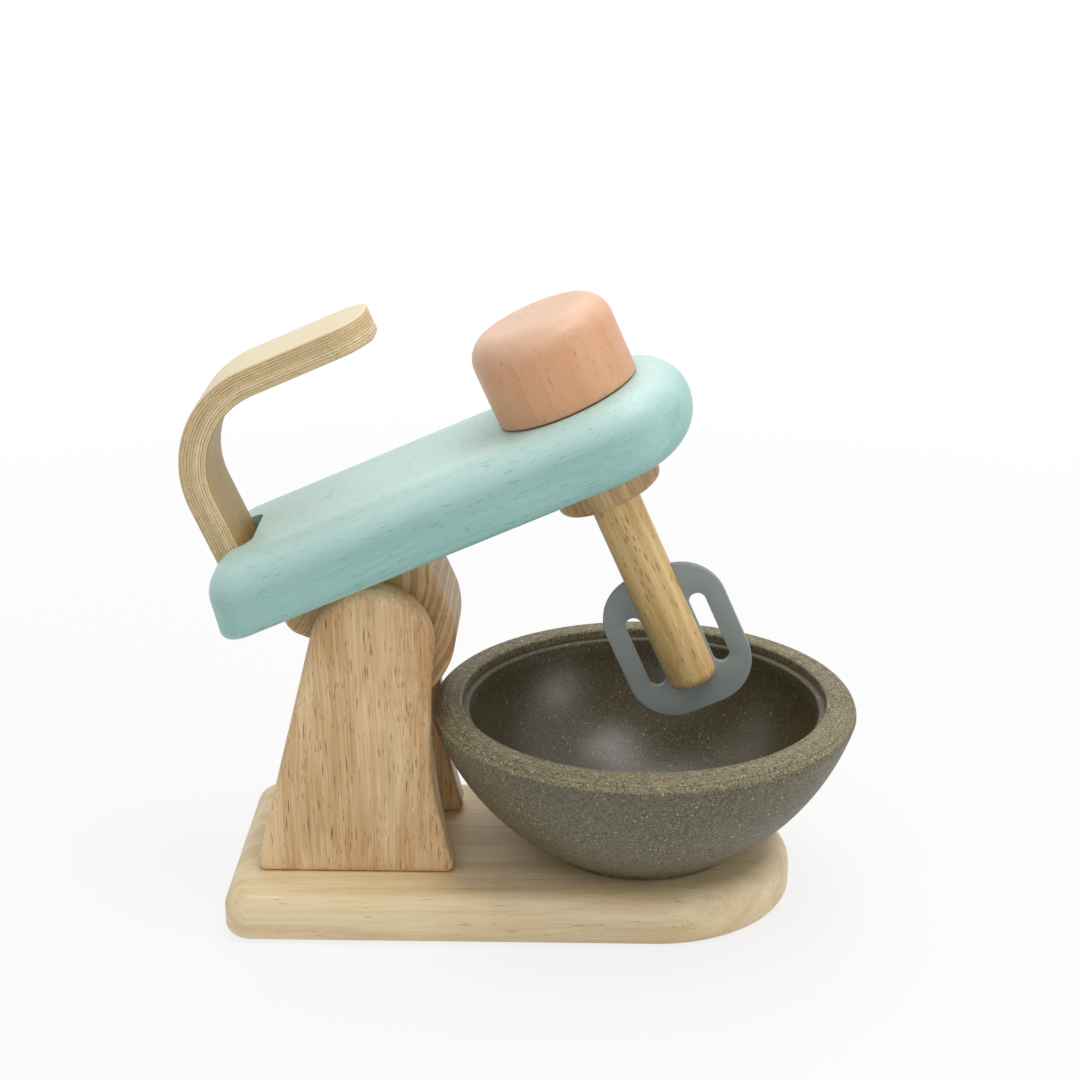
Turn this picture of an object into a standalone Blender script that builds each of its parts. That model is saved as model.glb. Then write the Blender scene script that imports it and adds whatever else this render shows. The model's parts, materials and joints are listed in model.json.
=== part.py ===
"""Toy stand mixer in rubberwood, bent plywood and moulded wood fibre.

A base board carries two uprights. A pivot block tilts between them on a pin and holds the
head on two ball-ended pegs. The head carries the bent handle, and a spindle that joins the
knob on top to the drive disc below, where the beater plugs in. The bowl stands under it.

Lengths are metres. X runs from the rear of the mixer to its nose, Z is up and the uprights
stand at either side of Y = 0. The origin is the middle of the base board's underside. The
head is modelled raised, at the angle where a child leaves it to take the bowl away.
"""

import math

import bmesh
import bpy
from mathutils import Matrix

# Fits between pieces
GAP = 0.0003
PEG_CLEAR = 0.0005
OVERRUN = 0.002
WELD = 0.00001

# Tilt of the head, in degrees above level
TILT_REST_DEG = 23.5
TILT_TRAVEL_DEG = 45.0

# Base board
BASE_LENGTH = 0.204
BASE_WIDTH = 0.100
BASE_THICK = 0.019
BASE_CORNER = 0.010
BASE_TOP_ROUND = 0.008
BASE_BOTTOM_ROUND = 0.005

# Uprights, measured from the pivot
PIVOT_FROM_REAR = 0.0542
PIVOT_ABOVE_BASE = 0.0868
UPRIGHT_THICK = 0.012
UPRIGHT_TOP_RADIUS = 0.0217
UPRIGHT_HEEL = 0.0443
UPRIGHT_FLANK_RADIUS = 0.200
UPRIGHT_CORNER = 0.0028
UPRIGHT_EDGE = 0.0025

# Pins and dowels
PIN_RADIUS = 0.004
PIN_SEAT = 0.008
PIN_CHAMFER = 0.0006
FOOT_DOWEL_RADIUS = 0.003
FOOT_DOWEL_LENGTH = 0.024
FOOT_DOWEL_INSET = 0.017
STOP_BEHIND = 0.012

# Washers
WASHER_THICK = 0.0008
WASHER_RIM = 0.006

# Pivot block, measured from the pivot
BLOCK_DEPTH = 0.035
BLOCK_RADIUS = 0.0285
BLOCK_REAR = 0.0276
BLOCK_TOP_CORNER = 0.003
BLOCK_REAR_CORNER = 0.009
BLOCK_EDGE = 0.0015
PIN_WALL = 0.006
HEAD_OVER_UPRIGHTS = 0.0005

# Ball-ended pegs
PEG_BALL_RADIUS = 0.0035
PEG_STEM_RADIUS = 0.0025
PEG_STAND = 0.003
PEG_STEM_LENGTH = 0.010
PEG_SPACING = 0.024
SOCKET_SPARE = 0.0015

# Head board
HEAD_WIDTH = 0.0776
HEAD_THICK = 0.026
HEAD_REAR = 0.0472
HEAD_REAR_SLANT = 0.0043
HEAD_REAR_CORNER = 0.0125
HEAD_TOP_ROUND = 0.011
HEAD_BOTTOM_ROUND = 0.004
HEAD_NOSE_REACH = 0.0396
HEAD_NOSE_FULLNESS = 2.6
HEAD_NOSE_TOP_ROUND = 0.0145
HEAD_NOSE_BOTTOM_ROUND = 0.011

# Bent handle
HANDLE_THICK = 0.010
HANDLE_WIDTH = 0.032
HANDLE_RISE = 0.0572
HANDLE_REACH = 0.0842
HANDLE_BEND = 0.0385
HANDLE_TENON = 0.016
HANDLE_INSET = 0.0025
HANDLE_TIP_CORNER = 0.013
HANDLE_EDGE = 0.0012
MORTISE_FRONT_GAP = 0.005
MORTISE_CORNER = 0.0045

# Knob, spindle and drive disc
KNOB_RADIUS = 0.0259
KNOB_HEIGHT = 0.031
KNOB_TOP_ROUND = 0.010
KNOB_BOTTOM_ROUND = 0.001
KNOB_SEAT = 0.016
DISC_RADIUS = 0.0192
DISC_THICK = 0.011
DISC_TOP_ROUND = 0.001
DISC_BOTTOM_ROUND = 0.003

# Beater
DOWEL_RADIUS = 0.009
DOWEL_CHAMFER = 0.0008
BEATER_LENGTH = 0.077
BEATER_END_ROUND = 0.004
BEATER_CUP_RADIUS = 0.0048
BEATER_CUP_DEPTH = 0.001
PADDLE_WIDTH = 0.046
PADDLE_HEIGHT = 0.056
PADDLE_THICK = 0.0025
PADDLE_CORNER = 0.017
PADDLE_DROP = 0.0106
PADDLE_SLOT_WIDTH = 0.0061
PADDLE_SLOT_LENGTH = 0.0282
PADDLE_SLOT_RISE = 0.014
PADDLE_SLOT_LAND = 0.0004

# Bowl
BOWL_RADIUS = 0.077
BOWL_HEIGHT = 0.0572
BOWL_RIM_ROUND = 0.005
BOWL_RIM_WIDTH = 0.011
BOWL_STEP_DROP = 0.0035
BOWL_STEP_WIDTH = 0.0026
BOWL_LIP_ROUND = 0.0012
BOWL_FOOT_RADIUS = 0.036
BOWL_FOOT_ROUND = 0.0015
BOWL_BULGE = 0.006
BOWL_FLOOR_THICK = 0.006
BOWL_FLOOR_RADIUS = 0.022
BOWL_HOLLOW_BULGE = 0.010
BOWL_TO_UPRIGHT = 0.0011

# Facets
FACET_SAG = 0.00014
WIDEST_STEP_DEG = 30.0
BOWL_STEPS = 60
NOSE_STEPS = 20
TURN_STEPS = 40
DOWEL_STEPS = 28
PIN_STEPS = 18
EDGE_STEPS = 2
ROUND_STEPS = 4
SMOOTH_DEG = 35.0
BEVEL_DEG = 40.0
FLAT_DEG = 0.5

# Places that follow from the sizes
PIVOT_X = PIVOT_FROM_REAR - BASE_LENGTH / 2
PIVOT_Z = BASE_THICK + PIVOT_ABOVE_BASE
UPRIGHT_INNER_Y = BLOCK_DEPTH / 2 + WASHER_THICK + 2 * GAP
UPRIGHT_Y = UPRIGHT_INNER_Y + UPRIGHT_THICK / 2
SEAT_Z = BASE_THICK + GAP
NECK_BELOW_PIVOT = PIVOT_Z - SEAT_Z - BOWL_HEIGHT
FLANK_CENTRE_X = math.sqrt((UPRIGHT_FLANK_RADIUS + UPRIGHT_TOP_RADIUS) ** 2 - NECK_BELOW_PIVOT**2)
NECK_X = FLANK_CENTRE_X - UPRIGHT_FLANK_RADIUS
SPINDLE_X = NECK_X + math.sqrt(BOWL_RADIUS**2 - UPRIGHT_INNER_Y**2) + BOWL_TO_UPRIGHT
PIN_LENGTH = 2 * (UPRIGHT_INNER_Y + PIN_SEAT)
BLOCK_TOP = UPRIGHT_TOP_RADIUS + HEAD_OVER_UPRIGHTS
SLOPE_DROP = PIN_RADIUS + GAP + PIN_WALL
STOP_X = -STOP_BEHIND
STOP_Z = -SLOPE_DROP - GAP - PIN_RADIUS
HEAD_UNDER = BLOCK_TOP + GAP
HEAD_TOP = HEAD_UNDER + HEAD_THICK
WASHER_SPACE = WASHER_THICK + 2 * GAP
KNOB_UNDER = HEAD_TOP + WASHER_SPACE
DISC_TOP = HEAD_UNDER - WASHER_SPACE
DISC_UNDER = DISC_TOP - DISC_THICK
BEATER_TOP = DISC_UNDER - GAP
SOCKET_RADIUS = PEG_BALL_RADIUS + PEG_CLEAR
SOCKET_DEPTH = PEG_STAND + PEG_BALL_RADIUS + SOCKET_SPARE

STANDING = (math.pi / 2, 0, 0)
LYING = (-math.pi / 2, 0, 0)
INVERTED = (math.pi, 0, 0)


def clear_scene():
    """Remove what the opened file holds."""
    for item in list(bpy.data.objects):
        bpy.data.objects.remove(item, do_unlink=True)


def new_collection(name):
    """Add a collection to the scene."""
    collection = bpy.data.collections.new(name)
    bpy.context.scene.collection.children.link(collection)
    return collection


def finish(name, colour, roughness, metallic=0.0):
    """Make a plain Principled material."""
    material = bpy.data.materials.new(name)
    material.use_nodes = True
    shader = material.node_tree.nodes["Principled BSDF"]
    shader.inputs["Base Color"].default_value = (*colour, 1.0)
    shader.inputs["Roughness"].default_value = roughness
    shader.inputs["Metallic"].default_value = metallic
    material.diffuse_color = (*colour, 1.0)
    return material


def place(item, parent, location, rotation):
    """Set an object at a place and turn within its parent's frame."""
    item.parent = parent
    item.location = location
    item.rotation_euler = rotation
    return item


def pivot_frame(name, parent, location, rotation=(0, 0, 0)):
    """Add an empty whose origin lies on a joint's axis."""
    empty = bpy.data.objects.new(name, None)
    PARTS.objects.link(empty)
    return place(empty, parent, location, rotation)


def part(name, mesh, material, parent=None, location=(0, 0, 0), rotation=(0, 0, 0)):
    """Add one solid piece of the mixer."""
    mesh.name = name
    mesh.materials.append(material)
    mesh.shade_smooth()
    mesh.set_sharp_from_angle(angle=math.radians(SMOOTH_DEG))
    item = bpy.data.objects.new(name, mesh)
    PARTS.objects.link(item)
    return place(item, parent, location, rotation)


def cutter(name, mesh, parent=None, location=(0, 0, 0), rotation=(0, 0, 0)):
    """Add a solid that only shapes other pieces."""
    item = bpy.data.objects.new(name, mesh)
    CUTTERS.objects.link(item)
    item.hide_render = True
    item.display_type = "WIRE"
    return place(item, parent, location, rotation)


def cut(item, tool):
    """Cut another solid's shape out of a piece."""
    modifier = item.modifiers.new(tool.name, "BOOLEAN")
    modifier.operation = "DIFFERENCE"
    modifier.object = tool
    modifier.solver = "EXACT"


def screw(item, steps):
    """Turn a profile about the object's own Z axis."""
    modifier = item.modifiers.new("turn", "SCREW")
    modifier.angle = 2 * math.pi
    modifier.steps = steps
    modifier.render_steps = steps
    modifier.use_merge_vertices = True
    modifier.merge_threshold = WELD


def round_edges(item, width, steps, limit="WEIGHT"):
    """Round a piece's marked or sharp edges."""
    modifier = item.modifiers.new("edges", "BEVEL")
    modifier.width = width
    modifier.segments = steps
    modifier.limit_method = limit
    modifier.angle_limit = math.radians(BEVEL_DEG)
    modifier.use_clamp_overlap = False
    modifier.miter_outer = "MITER_SHARP"


def arc(centre, radius, start_deg, end_deg):
    """Points along a circular arc, its ends and middle included, with chords that sag alike."""
    step = min(WIDEST_STEP_DEG, 2 * math.degrees(math.acos(1 - min(1, FACET_SAG / radius))))
    count = 2 * math.ceil(abs(end_deg - start_deg) / step / 2)
    points = []
    for index in range(count + 1):
        angle = math.radians(start_deg + (end_deg - start_deg) * index / count)
        points.append((centre[0] + radius * math.cos(angle), centre[1] + radius * math.sin(angle)))
    return points


def bulged(start, end, bulge):
    """Points from start to end along the arc that bulges to the right of that way by bulge."""
    run = (end[0] - start[0], end[1] - start[1])
    chord = math.hypot(*run)
    radius = (chord**2 / 4 + bulge**2) / (2 * bulge)
    side = (run[1] / chord, -run[0] / chord)
    back = radius - bulge
    centre = (start[0] + run[0] / 2 - side[0] * back, start[1] + run[1] / 2 - side[1] * back)
    first = math.degrees(math.atan2(start[1] - centre[1], start[0] - centre[0]))
    sweep = math.degrees(2 * math.asin(chord / 2 / radius))
    return arc(centre, radius, first, first + sweep)


def filleted(corners):
    """Replace each (x, y, radius) corner of an outline by an arc of that radius."""
    points = []
    for index, (x, y, radius) in enumerate(corners):
        before = corners[index - 1]
        after = corners[(index + 1) % len(corners)]
        if radius == 0:
            points.append((x, y))
            continue
        into = math.atan2(y - before[1], x - before[0])
        out = math.atan2(after[1] - y, after[0] - x)
        turn = (out - into + math.pi) % (2 * math.pi) - math.pi
        side = math.copysign(1, turn)
        reach = radius * math.tan(abs(turn) / 2)
        start = (x - reach * math.cos(into), y - reach * math.sin(into))
        centre = (start[0] - side * radius * math.sin(into), start[1] + side * radius * math.cos(into))
        first = math.degrees(into) - side * 90
        points.extend(arc(centre, radius, first, first + math.degrees(turn)))
    return points


def slab_mesh(outline, thickness):
    """Give a flat outline a thickness, half on each side of its plane."""
    curve = bpy.data.curves.new("outline", "CURVE")
    curve.dimensions = "2D"
    curve.fill_mode = "BOTH"
    curve.extrude = thickness / 2
    spline = curve.splines.new("POLY")
    spline.points.add(len(outline) - 1)
    for point, (x, y) in zip(spline.points, outline):
        point.co = (x, y, 0, 1)
    spline.use_cyclic_u = True
    shape = bpy.data.objects.new("outline", curve)
    CUTTERS.objects.link(shape)
    view = bpy.context.evaluated_depsgraph_get()
    mesh = bpy.data.meshes.new_from_object(shape.evaluated_get(view))
    bpy.data.objects.remove(shape)
    solid = bmesh.new()
    solid.from_mesh(mesh)
    bmesh.ops.remove_doubles(solid, verts=solid.verts, dist=WELD)
    flat = [edge for edge in solid.edges if edge.calc_face_angle(0) < math.radians(FLAT_DEG)]
    bmesh.ops.dissolve_edges(solid, edges=flat, use_verts=False)
    bmesh.ops.recalc_face_normals(solid, faces=solid.faces)
    solid.to_mesh(mesh)
    solid.free()
    return mesh


def mark_rims(mesh, top_share, bottom_share):
    """Weight the edges round a slab's two faces for rounding."""
    weights = mesh.attributes.new("bevel_weight_edge", "FLOAT", "EDGE")
    for edge in mesh.edges:
        heights = [mesh.vertices[index].co.z for index in edge.vertices]
        if min(heights) > 0:
            weights.data[edge.index].value = top_share
        elif max(heights) < 0:
            weights.data[edge.index].value = bottom_share


def profile_mesh(points, closed=False):
    """Make the half section of a turned piece, X as radius and Z as height."""
    mesh = bpy.data.meshes.new("profile")
    section = bmesh.new()
    corners = [section.verts.new((x, 0, z)) for x, z in points]
    for first, second in zip(corners, corners[1:]):
        section.edges.new((first, second))
    if closed:
        section.edges.new((corners[-1], corners[0]))
    section.to_mesh(mesh)
    section.free()
    return mesh


def rod_mesh(radius, length):
    """A cylinder on Z, centred on its origin."""
    mesh = bpy.data.meshes.new("rod")
    solid = bmesh.new()
    bmesh.ops.create_cone(
        solid, cap_ends=True, segments=PIN_STEPS, radius1=radius, radius2=radius, depth=length
    )
    solid.to_mesh(mesh)
    solid.free()
    return mesh


def box_mesh(length, width, height):
    """A box centred on its origin."""
    mesh = bpy.data.meshes.new("box")
    solid = bmesh.new()
    bmesh.ops.create_cube(solid, size=1, matrix=Matrix.Diagonal((length, width, height, 1)))
    solid.to_mesh(mesh)
    solid.free()
    return mesh


def pin_profile(radius, length, chamfer):
    """Half section of a pin with chamfered ends, from Z = 0 up."""
    return [
        (0, length),
        (radius - chamfer, length),
        (radius, length - chamfer),
        (radius, chamfer),
        (radius - chamfer, 0),
        (0, 0),
    ]


def pin(name, radius, length, chamfer, material, parent, location, rotation=(0, 0, 0)):
    """Add a pin with chamfered ends."""
    mesh = profile_mesh(pin_profile(radius, length, chamfer))
    item = part(name, mesh, material, parent, location, rotation)
    screw(item, PIN_STEPS)
    return item


def washer(name, bore, material, parent, location, rotation=(0, 0, 0)):
    """Add a flat washer that fits round a shaft."""
    inner = bore + GAP
    outer = bore + WASHER_RIM
    section = [(outer, WASHER_THICK), (outer, 0), (inner, 0), (inner, WASHER_THICK)]
    item = part(name, profile_mesh(section, closed=True), material, parent, location, rotation)
    screw(item, PIN_STEPS)


def hole(item, name, radius, depth, parent, mouth, rotation=(0, 0, 0)):
    """Bore a blind hole down the turned Z axis from its mouth."""
    mesh = rod_mesh(radius, depth + OVERRUN)
    mesh.transform(Matrix.Translation((0, 0, (OVERRUN - depth) / 2)))
    cut(item, cutter(name, mesh, parent, mouth, rotation))


def base_outline():
    """Square-ended at the rear, and one half circle at the bowl's end."""
    half = BASE_WIDTH / 2
    rear = -BASE_LENGTH / 2
    centre = (BASE_LENGTH / 2 - half, 0)
    points = arc(centre, half, -90, 90)
    points += arc((rear + BASE_CORNER, half - BASE_CORNER), BASE_CORNER, 90, 180)
    points += arc((rear + BASE_CORNER, BASE_CORNER - half), BASE_CORNER, 180, 270)
    return points


def flank_x(height):
    """How far the hollow front of an upright stands before the pivot, at a height from it."""
    rise = height + NECK_BELOW_PIVOT
    return FLANK_CENTRE_X - math.sqrt(UPRIGHT_FLANK_RADIUS**2 - rise**2)


def foot_dowel_places():
    """Where the dowels stand that pin the uprights to the base board."""
    toe = flank_x(SEAT_Z - PIVOT_Z)
    places = []
    for side in (-1, 1):
        for x in (FOOT_DOWEL_INSET - UPRIGHT_HEEL, toe - FOOT_DOWEL_INSET):
            places.append((PIVOT_X + x, side * UPRIGHT_Y))
    return places


def base_board(material):
    """The base board, bored for the uprights' dowels."""
    mesh = slab_mesh(base_outline(), BASE_THICK)
    mark_rims(mesh, 1, BASE_BOTTOM_ROUND / BASE_TOP_ROUND)
    board = part("base_board", mesh, material, location=(0, 0, BASE_THICK / 2))
    round_edges(board, BASE_TOP_ROUND, ROUND_STEPS)
    bore = FOOT_DOWEL_RADIUS + GAP
    depth = FOOT_DOWEL_LENGTH / 2 + GAP
    for index, (x, y) in enumerate(foot_dowel_places(), 1):
        hole(board, f"base_dowel_hole_{index}", bore, depth, None, (x, y, BASE_THICK))


def upright_outline():
    """Straight sloping back, round head, and a hollow front that clears the bowl's rim."""
    foot = SEAT_Z - PIVOT_Z
    distance = math.hypot(UPRIGHT_HEEL, foot)
    slope = math.atan2(-foot, UPRIGHT_HEEL) + math.asin(UPRIGHT_TOP_RADIUS / distance)
    meet_deg = -math.degrees(math.atan2(NECK_BELOW_PIVOT, FLANK_CENTRE_X))
    toe = (flank_x(foot), foot)
    toe_deg = math.degrees(math.asin((foot + NECK_BELOW_PIVOT) / UPRIGHT_FLANK_RADIUS))
    centre = (FLANK_CENTRE_X, -NECK_BELOW_PIVOT)
    flank = arc(centre, UPRIGHT_FLANK_RADIUS, 180 + meet_deg, 180 - toe_deg)
    top = arc((0, 0), UPRIGHT_TOP_RADIUS, math.degrees(slope) + 90, meet_deg)
    corners = [(*flank[-2], 0), (*toe, UPRIGHT_CORNER), (-UPRIGHT_HEEL, foot, UPRIGHT_CORNER), (*top[0], 0)]
    return top + flank[1:-2] + filleted(corners)[:-1]


def upright(name, side, material):
    """One upright, bored on its inner face for the pivot pin and the stop."""
    mesh = slab_mesh(upright_outline(), UPRIGHT_THICK)
    mark_rims(mesh, 1, 1)
    item = part(name, mesh, material, None, (PIVOT_X, side * UPRIGHT_Y, PIVOT_Z), STANDING)
    round_edges(item, UPRIGHT_EDGE, EDGE_STEPS + 1)
    face = side * UPRIGHT_INNER_Y
    facing = (side * math.pi / 2, 0, 0)
    for use, x, z in (("pin", 0, 0), ("stop", STOP_X, STOP_Z)):
        mouth = (PIVOT_X + x, face, PIVOT_Z + z)
        hole(item, f"{name}_{use}_hole", PIN_RADIUS + GAP, PIN_SEAT + GAP, None, mouth, facing)
    bore = FOOT_DOWEL_RADIUS + GAP
    depth = FOOT_DOWEL_LENGTH / 2 + GAP
    for index, (x, y) in enumerate(foot_dowel_places(), 1):
        if y * side > 0:
            hole(item, f"{name}_dowel_hole_{index}", bore, depth, None, (x, y, SEAT_Z), INVERTED)


def stand(wood, nylon):
    """The pieces that stay still: base board, uprights, pins, dowels and friction washers."""
    base_board(wood)
    upright("front_upright", -1, wood)
    upright("rear_upright", 1, wood)
    for index, (x, y) in enumerate(foot_dowel_places(), 1):
        low = (x, y, BASE_THICK + GAP / 2 - FOOT_DOWEL_LENGTH / 2)
        pin(f"foot_dowel_{index}", FOOT_DOWEL_RADIUS, FOOT_DOWEL_LENGTH, PIN_CHAMFER, wood, None, low)
    near = -PIN_LENGTH / 2
    for name, x, z in (("pivot_pin", 0, 0), ("stop_dowel", STOP_X, STOP_Z)):
        end = (PIVOT_X + x, near, PIVOT_Z + z)
        pin(name, PIN_RADIUS, PIN_LENGTH, PIN_CHAMFER, wood, None, end, LYING)
    for name, side in (("front_washer", -1), ("rear_washer", 1)):
        middle = side * (BLOCK_DEPTH / 2 + WASHER_SPACE / 2)
        low = (PIVOT_X, middle - WASHER_THICK / 2, PIVOT_Z)
        washer(name, PIN_RADIUS, nylon, None, low, LYING)


def peg(name, material, parent, location, rotation=(0, 0, 0)):
    """A ball-ended peg whose stem is glued in below its origin."""
    meet = math.degrees(math.acos(PEG_STEM_RADIUS / PEG_BALL_RADIUS))
    section = arc((0, PEG_STAND), PEG_BALL_RADIUS, 90, -meet) + [
        (PEG_STEM_RADIUS, PIN_CHAMFER - PEG_STEM_LENGTH),
        (PEG_STEM_RADIUS - PIN_CHAMFER, -PEG_STEM_LENGTH),
        (0, -PEG_STEM_LENGTH),
    ]
    screw(part(name, profile_mesh(section), material, parent, location, rotation), PIN_STEPS)


def block_outline():
    """Flat top, round underside about the pivot, and a notch that works on the stop."""
    slope = math.radians(TILT_TRAVEL_DEG)
    toe_x = STOP_X + PIN_RADIUS + GAP
    toe_deg = -math.degrees(math.acos(toe_x / BLOCK_RADIUS))

    def slope_z(x):
        return -SLOPE_DROP / math.cos(slope) - x * math.tan(slope)

    corners = filleted(
        [
            (toe_x, slope_z(toe_x), 0),
            (-BLOCK_REAR, slope_z(-BLOCK_REAR), BLOCK_REAR_CORNER),
            (-BLOCK_REAR, BLOCK_TOP, BLOCK_TOP_CORNER),
            (BLOCK_RADIUS, BLOCK_TOP, BLOCK_TOP_CORNER),
            (BLOCK_RADIUS, 0, 0),
        ]
    )
    underside = arc((0, 0), BLOCK_RADIUS, 0, toe_deg)
    return corners[:-1] + underside


def pivot_block(wood, nylon, tilt):
    """The block that tilts between the uprights and carries the head."""
    mesh = slab_mesh(block_outline(), BLOCK_DEPTH)
    mark_rims(mesh, 1, 1)
    item = part("pivot_block", mesh, wood, tilt, (0, 0, 0), STANDING)
    round_edges(item, BLOCK_EDGE, EDGE_STEPS)
    across = rod_mesh(PIN_RADIUS + GAP, BLOCK_DEPTH + 2 * OVERRUN)
    cut(item, cutter("pivot_bore", across, tilt, (0, 0, 0), STANDING))
    fore = (PEG_SPACING / 2, 0, BLOCK_TOP)
    aft = (-PEG_SPACING / 2, 0, BLOCK_TOP)
    hole(item, "block_peg_hole", PEG_STEM_RADIUS + GAP, PEG_STEM_LENGTH + GAP, tilt, fore)
    hole(item, "block_socket", SOCKET_RADIUS, SOCKET_DEPTH, tilt, aft)
    peg("block_peg", nylon, tilt, fore)


def head_outline():
    """The head in plan: parallel sides, a blunt round nose and a square rear."""
    half = HEAD_WIDTH / 2
    rear = -HEAD_REAR
    power = 2 / HEAD_NOSE_FULLNESS
    points = []
    for index in range(NOSE_STEPS + 1):
        angle = math.pi * (index / NOSE_STEPS - 1 / 2)
        ahead = HEAD_NOSE_REACH * abs(math.cos(angle)) ** power
        aside = half * abs(math.sin(angle)) ** power
        points.append((SPINDLE_X + ahead, math.copysign(aside, angle)))
    points += arc((rear + HEAD_REAR_CORNER, half - HEAD_REAR_CORNER), HEAD_REAR_CORNER, 90, 180)
    points += arc((rear + HEAD_REAR_CORNER, HEAD_REAR_CORNER - half), HEAD_REAR_CORNER, 180, 270)
    return points


def mark_head_rims(mesh):
    """Weight the head's edges so that their rounding grows towards the tip of the nose."""
    weights = mesh.attributes.new("bevel_weight_edge", "FLOAT", "EDGE")
    for edge in mesh.edges:
        first, second = (mesh.vertices[index].co for index in edge.vertices)
        if first.z * second.z < 0:
            continue
        side, tip = HEAD_BOTTOM_ROUND, HEAD_NOSE_BOTTOM_ROUND
        if first.z > 0:
            side, tip = HEAD_TOP_ROUND, HEAD_NOSE_TOP_ROUND
        facing = (second - first).normalized().y ** 2 if first.x + second.x > 2 * SPINDLE_X else 0
        weights.data[edge.index].value = (side + (tip - side) * facing) / HEAD_NOSE_TOP_ROUND


def head_board(paint, nylon, head):
    """The head, bored for the spindle and the pegs and mortised for the handle."""
    mesh = slab_mesh(head_outline(), HEAD_THICK)
    for vertex in mesh.vertices:
        if vertex.co.z > 0 and vertex.co.x < HEAD_REAR_CORNER + WELD - HEAD_REAR:
            vertex.co.x += HEAD_REAR_SLANT
    mark_head_rims(mesh)
    item = part("head_board", mesh, paint, head, (0, 0, HEAD_UNDER + HEAD_THICK / 2))
    round_edges(item, HEAD_NOSE_TOP_ROUND, ROUND_STEPS)
    through = rod_mesh(DOWEL_RADIUS + GAP, HEAD_THICK + 2 * OVERRUN)
    middle = HEAD_UNDER + HEAD_THICK / 2
    cut(item, cutter("spindle_bore", through, head, (SPINDLE_X, 0, middle)))
    fore = (PEG_SPACING / 2, 0, HEAD_UNDER)
    aft = (-PEG_SPACING / 2, 0, HEAD_UNDER)
    hole(item, "head_socket", SOCKET_RADIUS, SOCKET_DEPTH, head, fore, INVERTED)
    hole(item, "head_peg_hole", PEG_STEM_RADIUS + GAP, PEG_STEM_LENGTH + GAP, head, aft, INVERTED)
    peg("head_peg", nylon, head, aft, INVERTED)
    cut(item, handle_mortise(head))


def handle_rear():
    """Where the handle's outer face stands, along the head."""
    return HEAD_REAR_SLANT + HANDLE_INSET - HEAD_REAR


def handle_mortise(head):
    """The pocket for the handle's foot, longer than the foot and round at its front."""
    half = HANDLE_WIDTH / 2 + GAP
    rear = handle_rear() - GAP
    front = handle_rear() + HANDLE_THICK + MORTISE_FRONT_GAP
    outline = filleted(
        [
            (rear, -half, 0),
            (front, -half, MORTISE_CORNER),
            (front, half, MORTISE_CORNER),
            (rear, half, 0),
        ]
    )
    height = HANDLE_TENON + GAP + OVERRUN
    mesh = slab_mesh(outline, height)
    return cutter("handle_mortise", mesh, head, (0, 0, HEAD_TOP + OVERRUN - height / 2))


def handle_section():
    """The bent strip seen from the side: an upright foot, a quarter bend and a level grip."""
    rear = handle_rear()
    top = HEAD_TOP + HANDLE_RISE
    foot = HEAD_TOP - HANDLE_TENON
    tip = rear + HANDLE_REACH
    centre = (rear + HANDLE_BEND, top - HANDLE_BEND)
    outer = arc(centre, HANDLE_BEND, 180, 90)
    inner = arc(centre, HANDLE_BEND - HANDLE_THICK, 90, 180)
    corners = [(tip, top), (tip, top - HANDLE_THICK)]
    return [(rear + HANDLE_THICK, foot), (rear, foot)] + outer + corners + inner


def handle(plywood, head):
    """The bent plywood handle, with a round-cornered tip and eased edges."""
    mesh = slab_mesh(handle_section(), HANDLE_WIDTH)
    tip = handle_rear() + HANDLE_REACH
    weights = mesh.attributes.new("bevel_weight_edge", "FLOAT", "EDGE")
    for edge in mesh.edges:
        ends = [mesh.vertices[index].co for index in edge.vertices]
        level = abs(ends[0].z - ends[1].z) < WELD
        if level and min(end.x for end in ends) > tip - WELD:
            weights.data[edge.index].value = 1
    item = part("handle", mesh, plywood, head, rotation=STANDING)
    round_edges(item, HANDLE_TIP_CORNER, ROUND_STEPS + EDGE_STEPS)
    round_edges(item, HANDLE_EDGE, EDGE_STEPS, "ANGLE")


def knob_section():
    """Half section of the knob, with its bore for the spindle."""
    bore = DOWEL_RADIUS + GAP
    seat = KNOB_SEAT + GAP
    shoulder = (KNOB_RADIUS - KNOB_TOP_ROUND, KNOB_HEIGHT - KNOB_TOP_ROUND)
    base = (KNOB_RADIUS - KNOB_BOTTOM_ROUND, KNOB_BOTTOM_ROUND)
    section = [(0, KNOB_HEIGHT)]
    section += arc(shoulder, KNOB_TOP_ROUND, 90, 0)
    section += arc(base, KNOB_BOTTOM_ROUND, 0, -90)
    return section + [(bore, 0), (bore, seat), (0, seat)]


def disc_section():
    """Half section of the drive disc, which the spindle passes through."""
    bore = DOWEL_RADIUS + GAP
    top = (DISC_RADIUS - DISC_TOP_ROUND, DISC_THICK - DISC_TOP_ROUND)
    bottom = (DISC_RADIUS - DISC_BOTTOM_ROUND, DISC_BOTTOM_ROUND)
    section = arc(top, DISC_TOP_ROUND, 90, 0) + arc(bottom, DISC_BOTTOM_ROUND, 0, -90)
    return section + [(bore, 0), (bore, DISC_THICK)]


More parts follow.
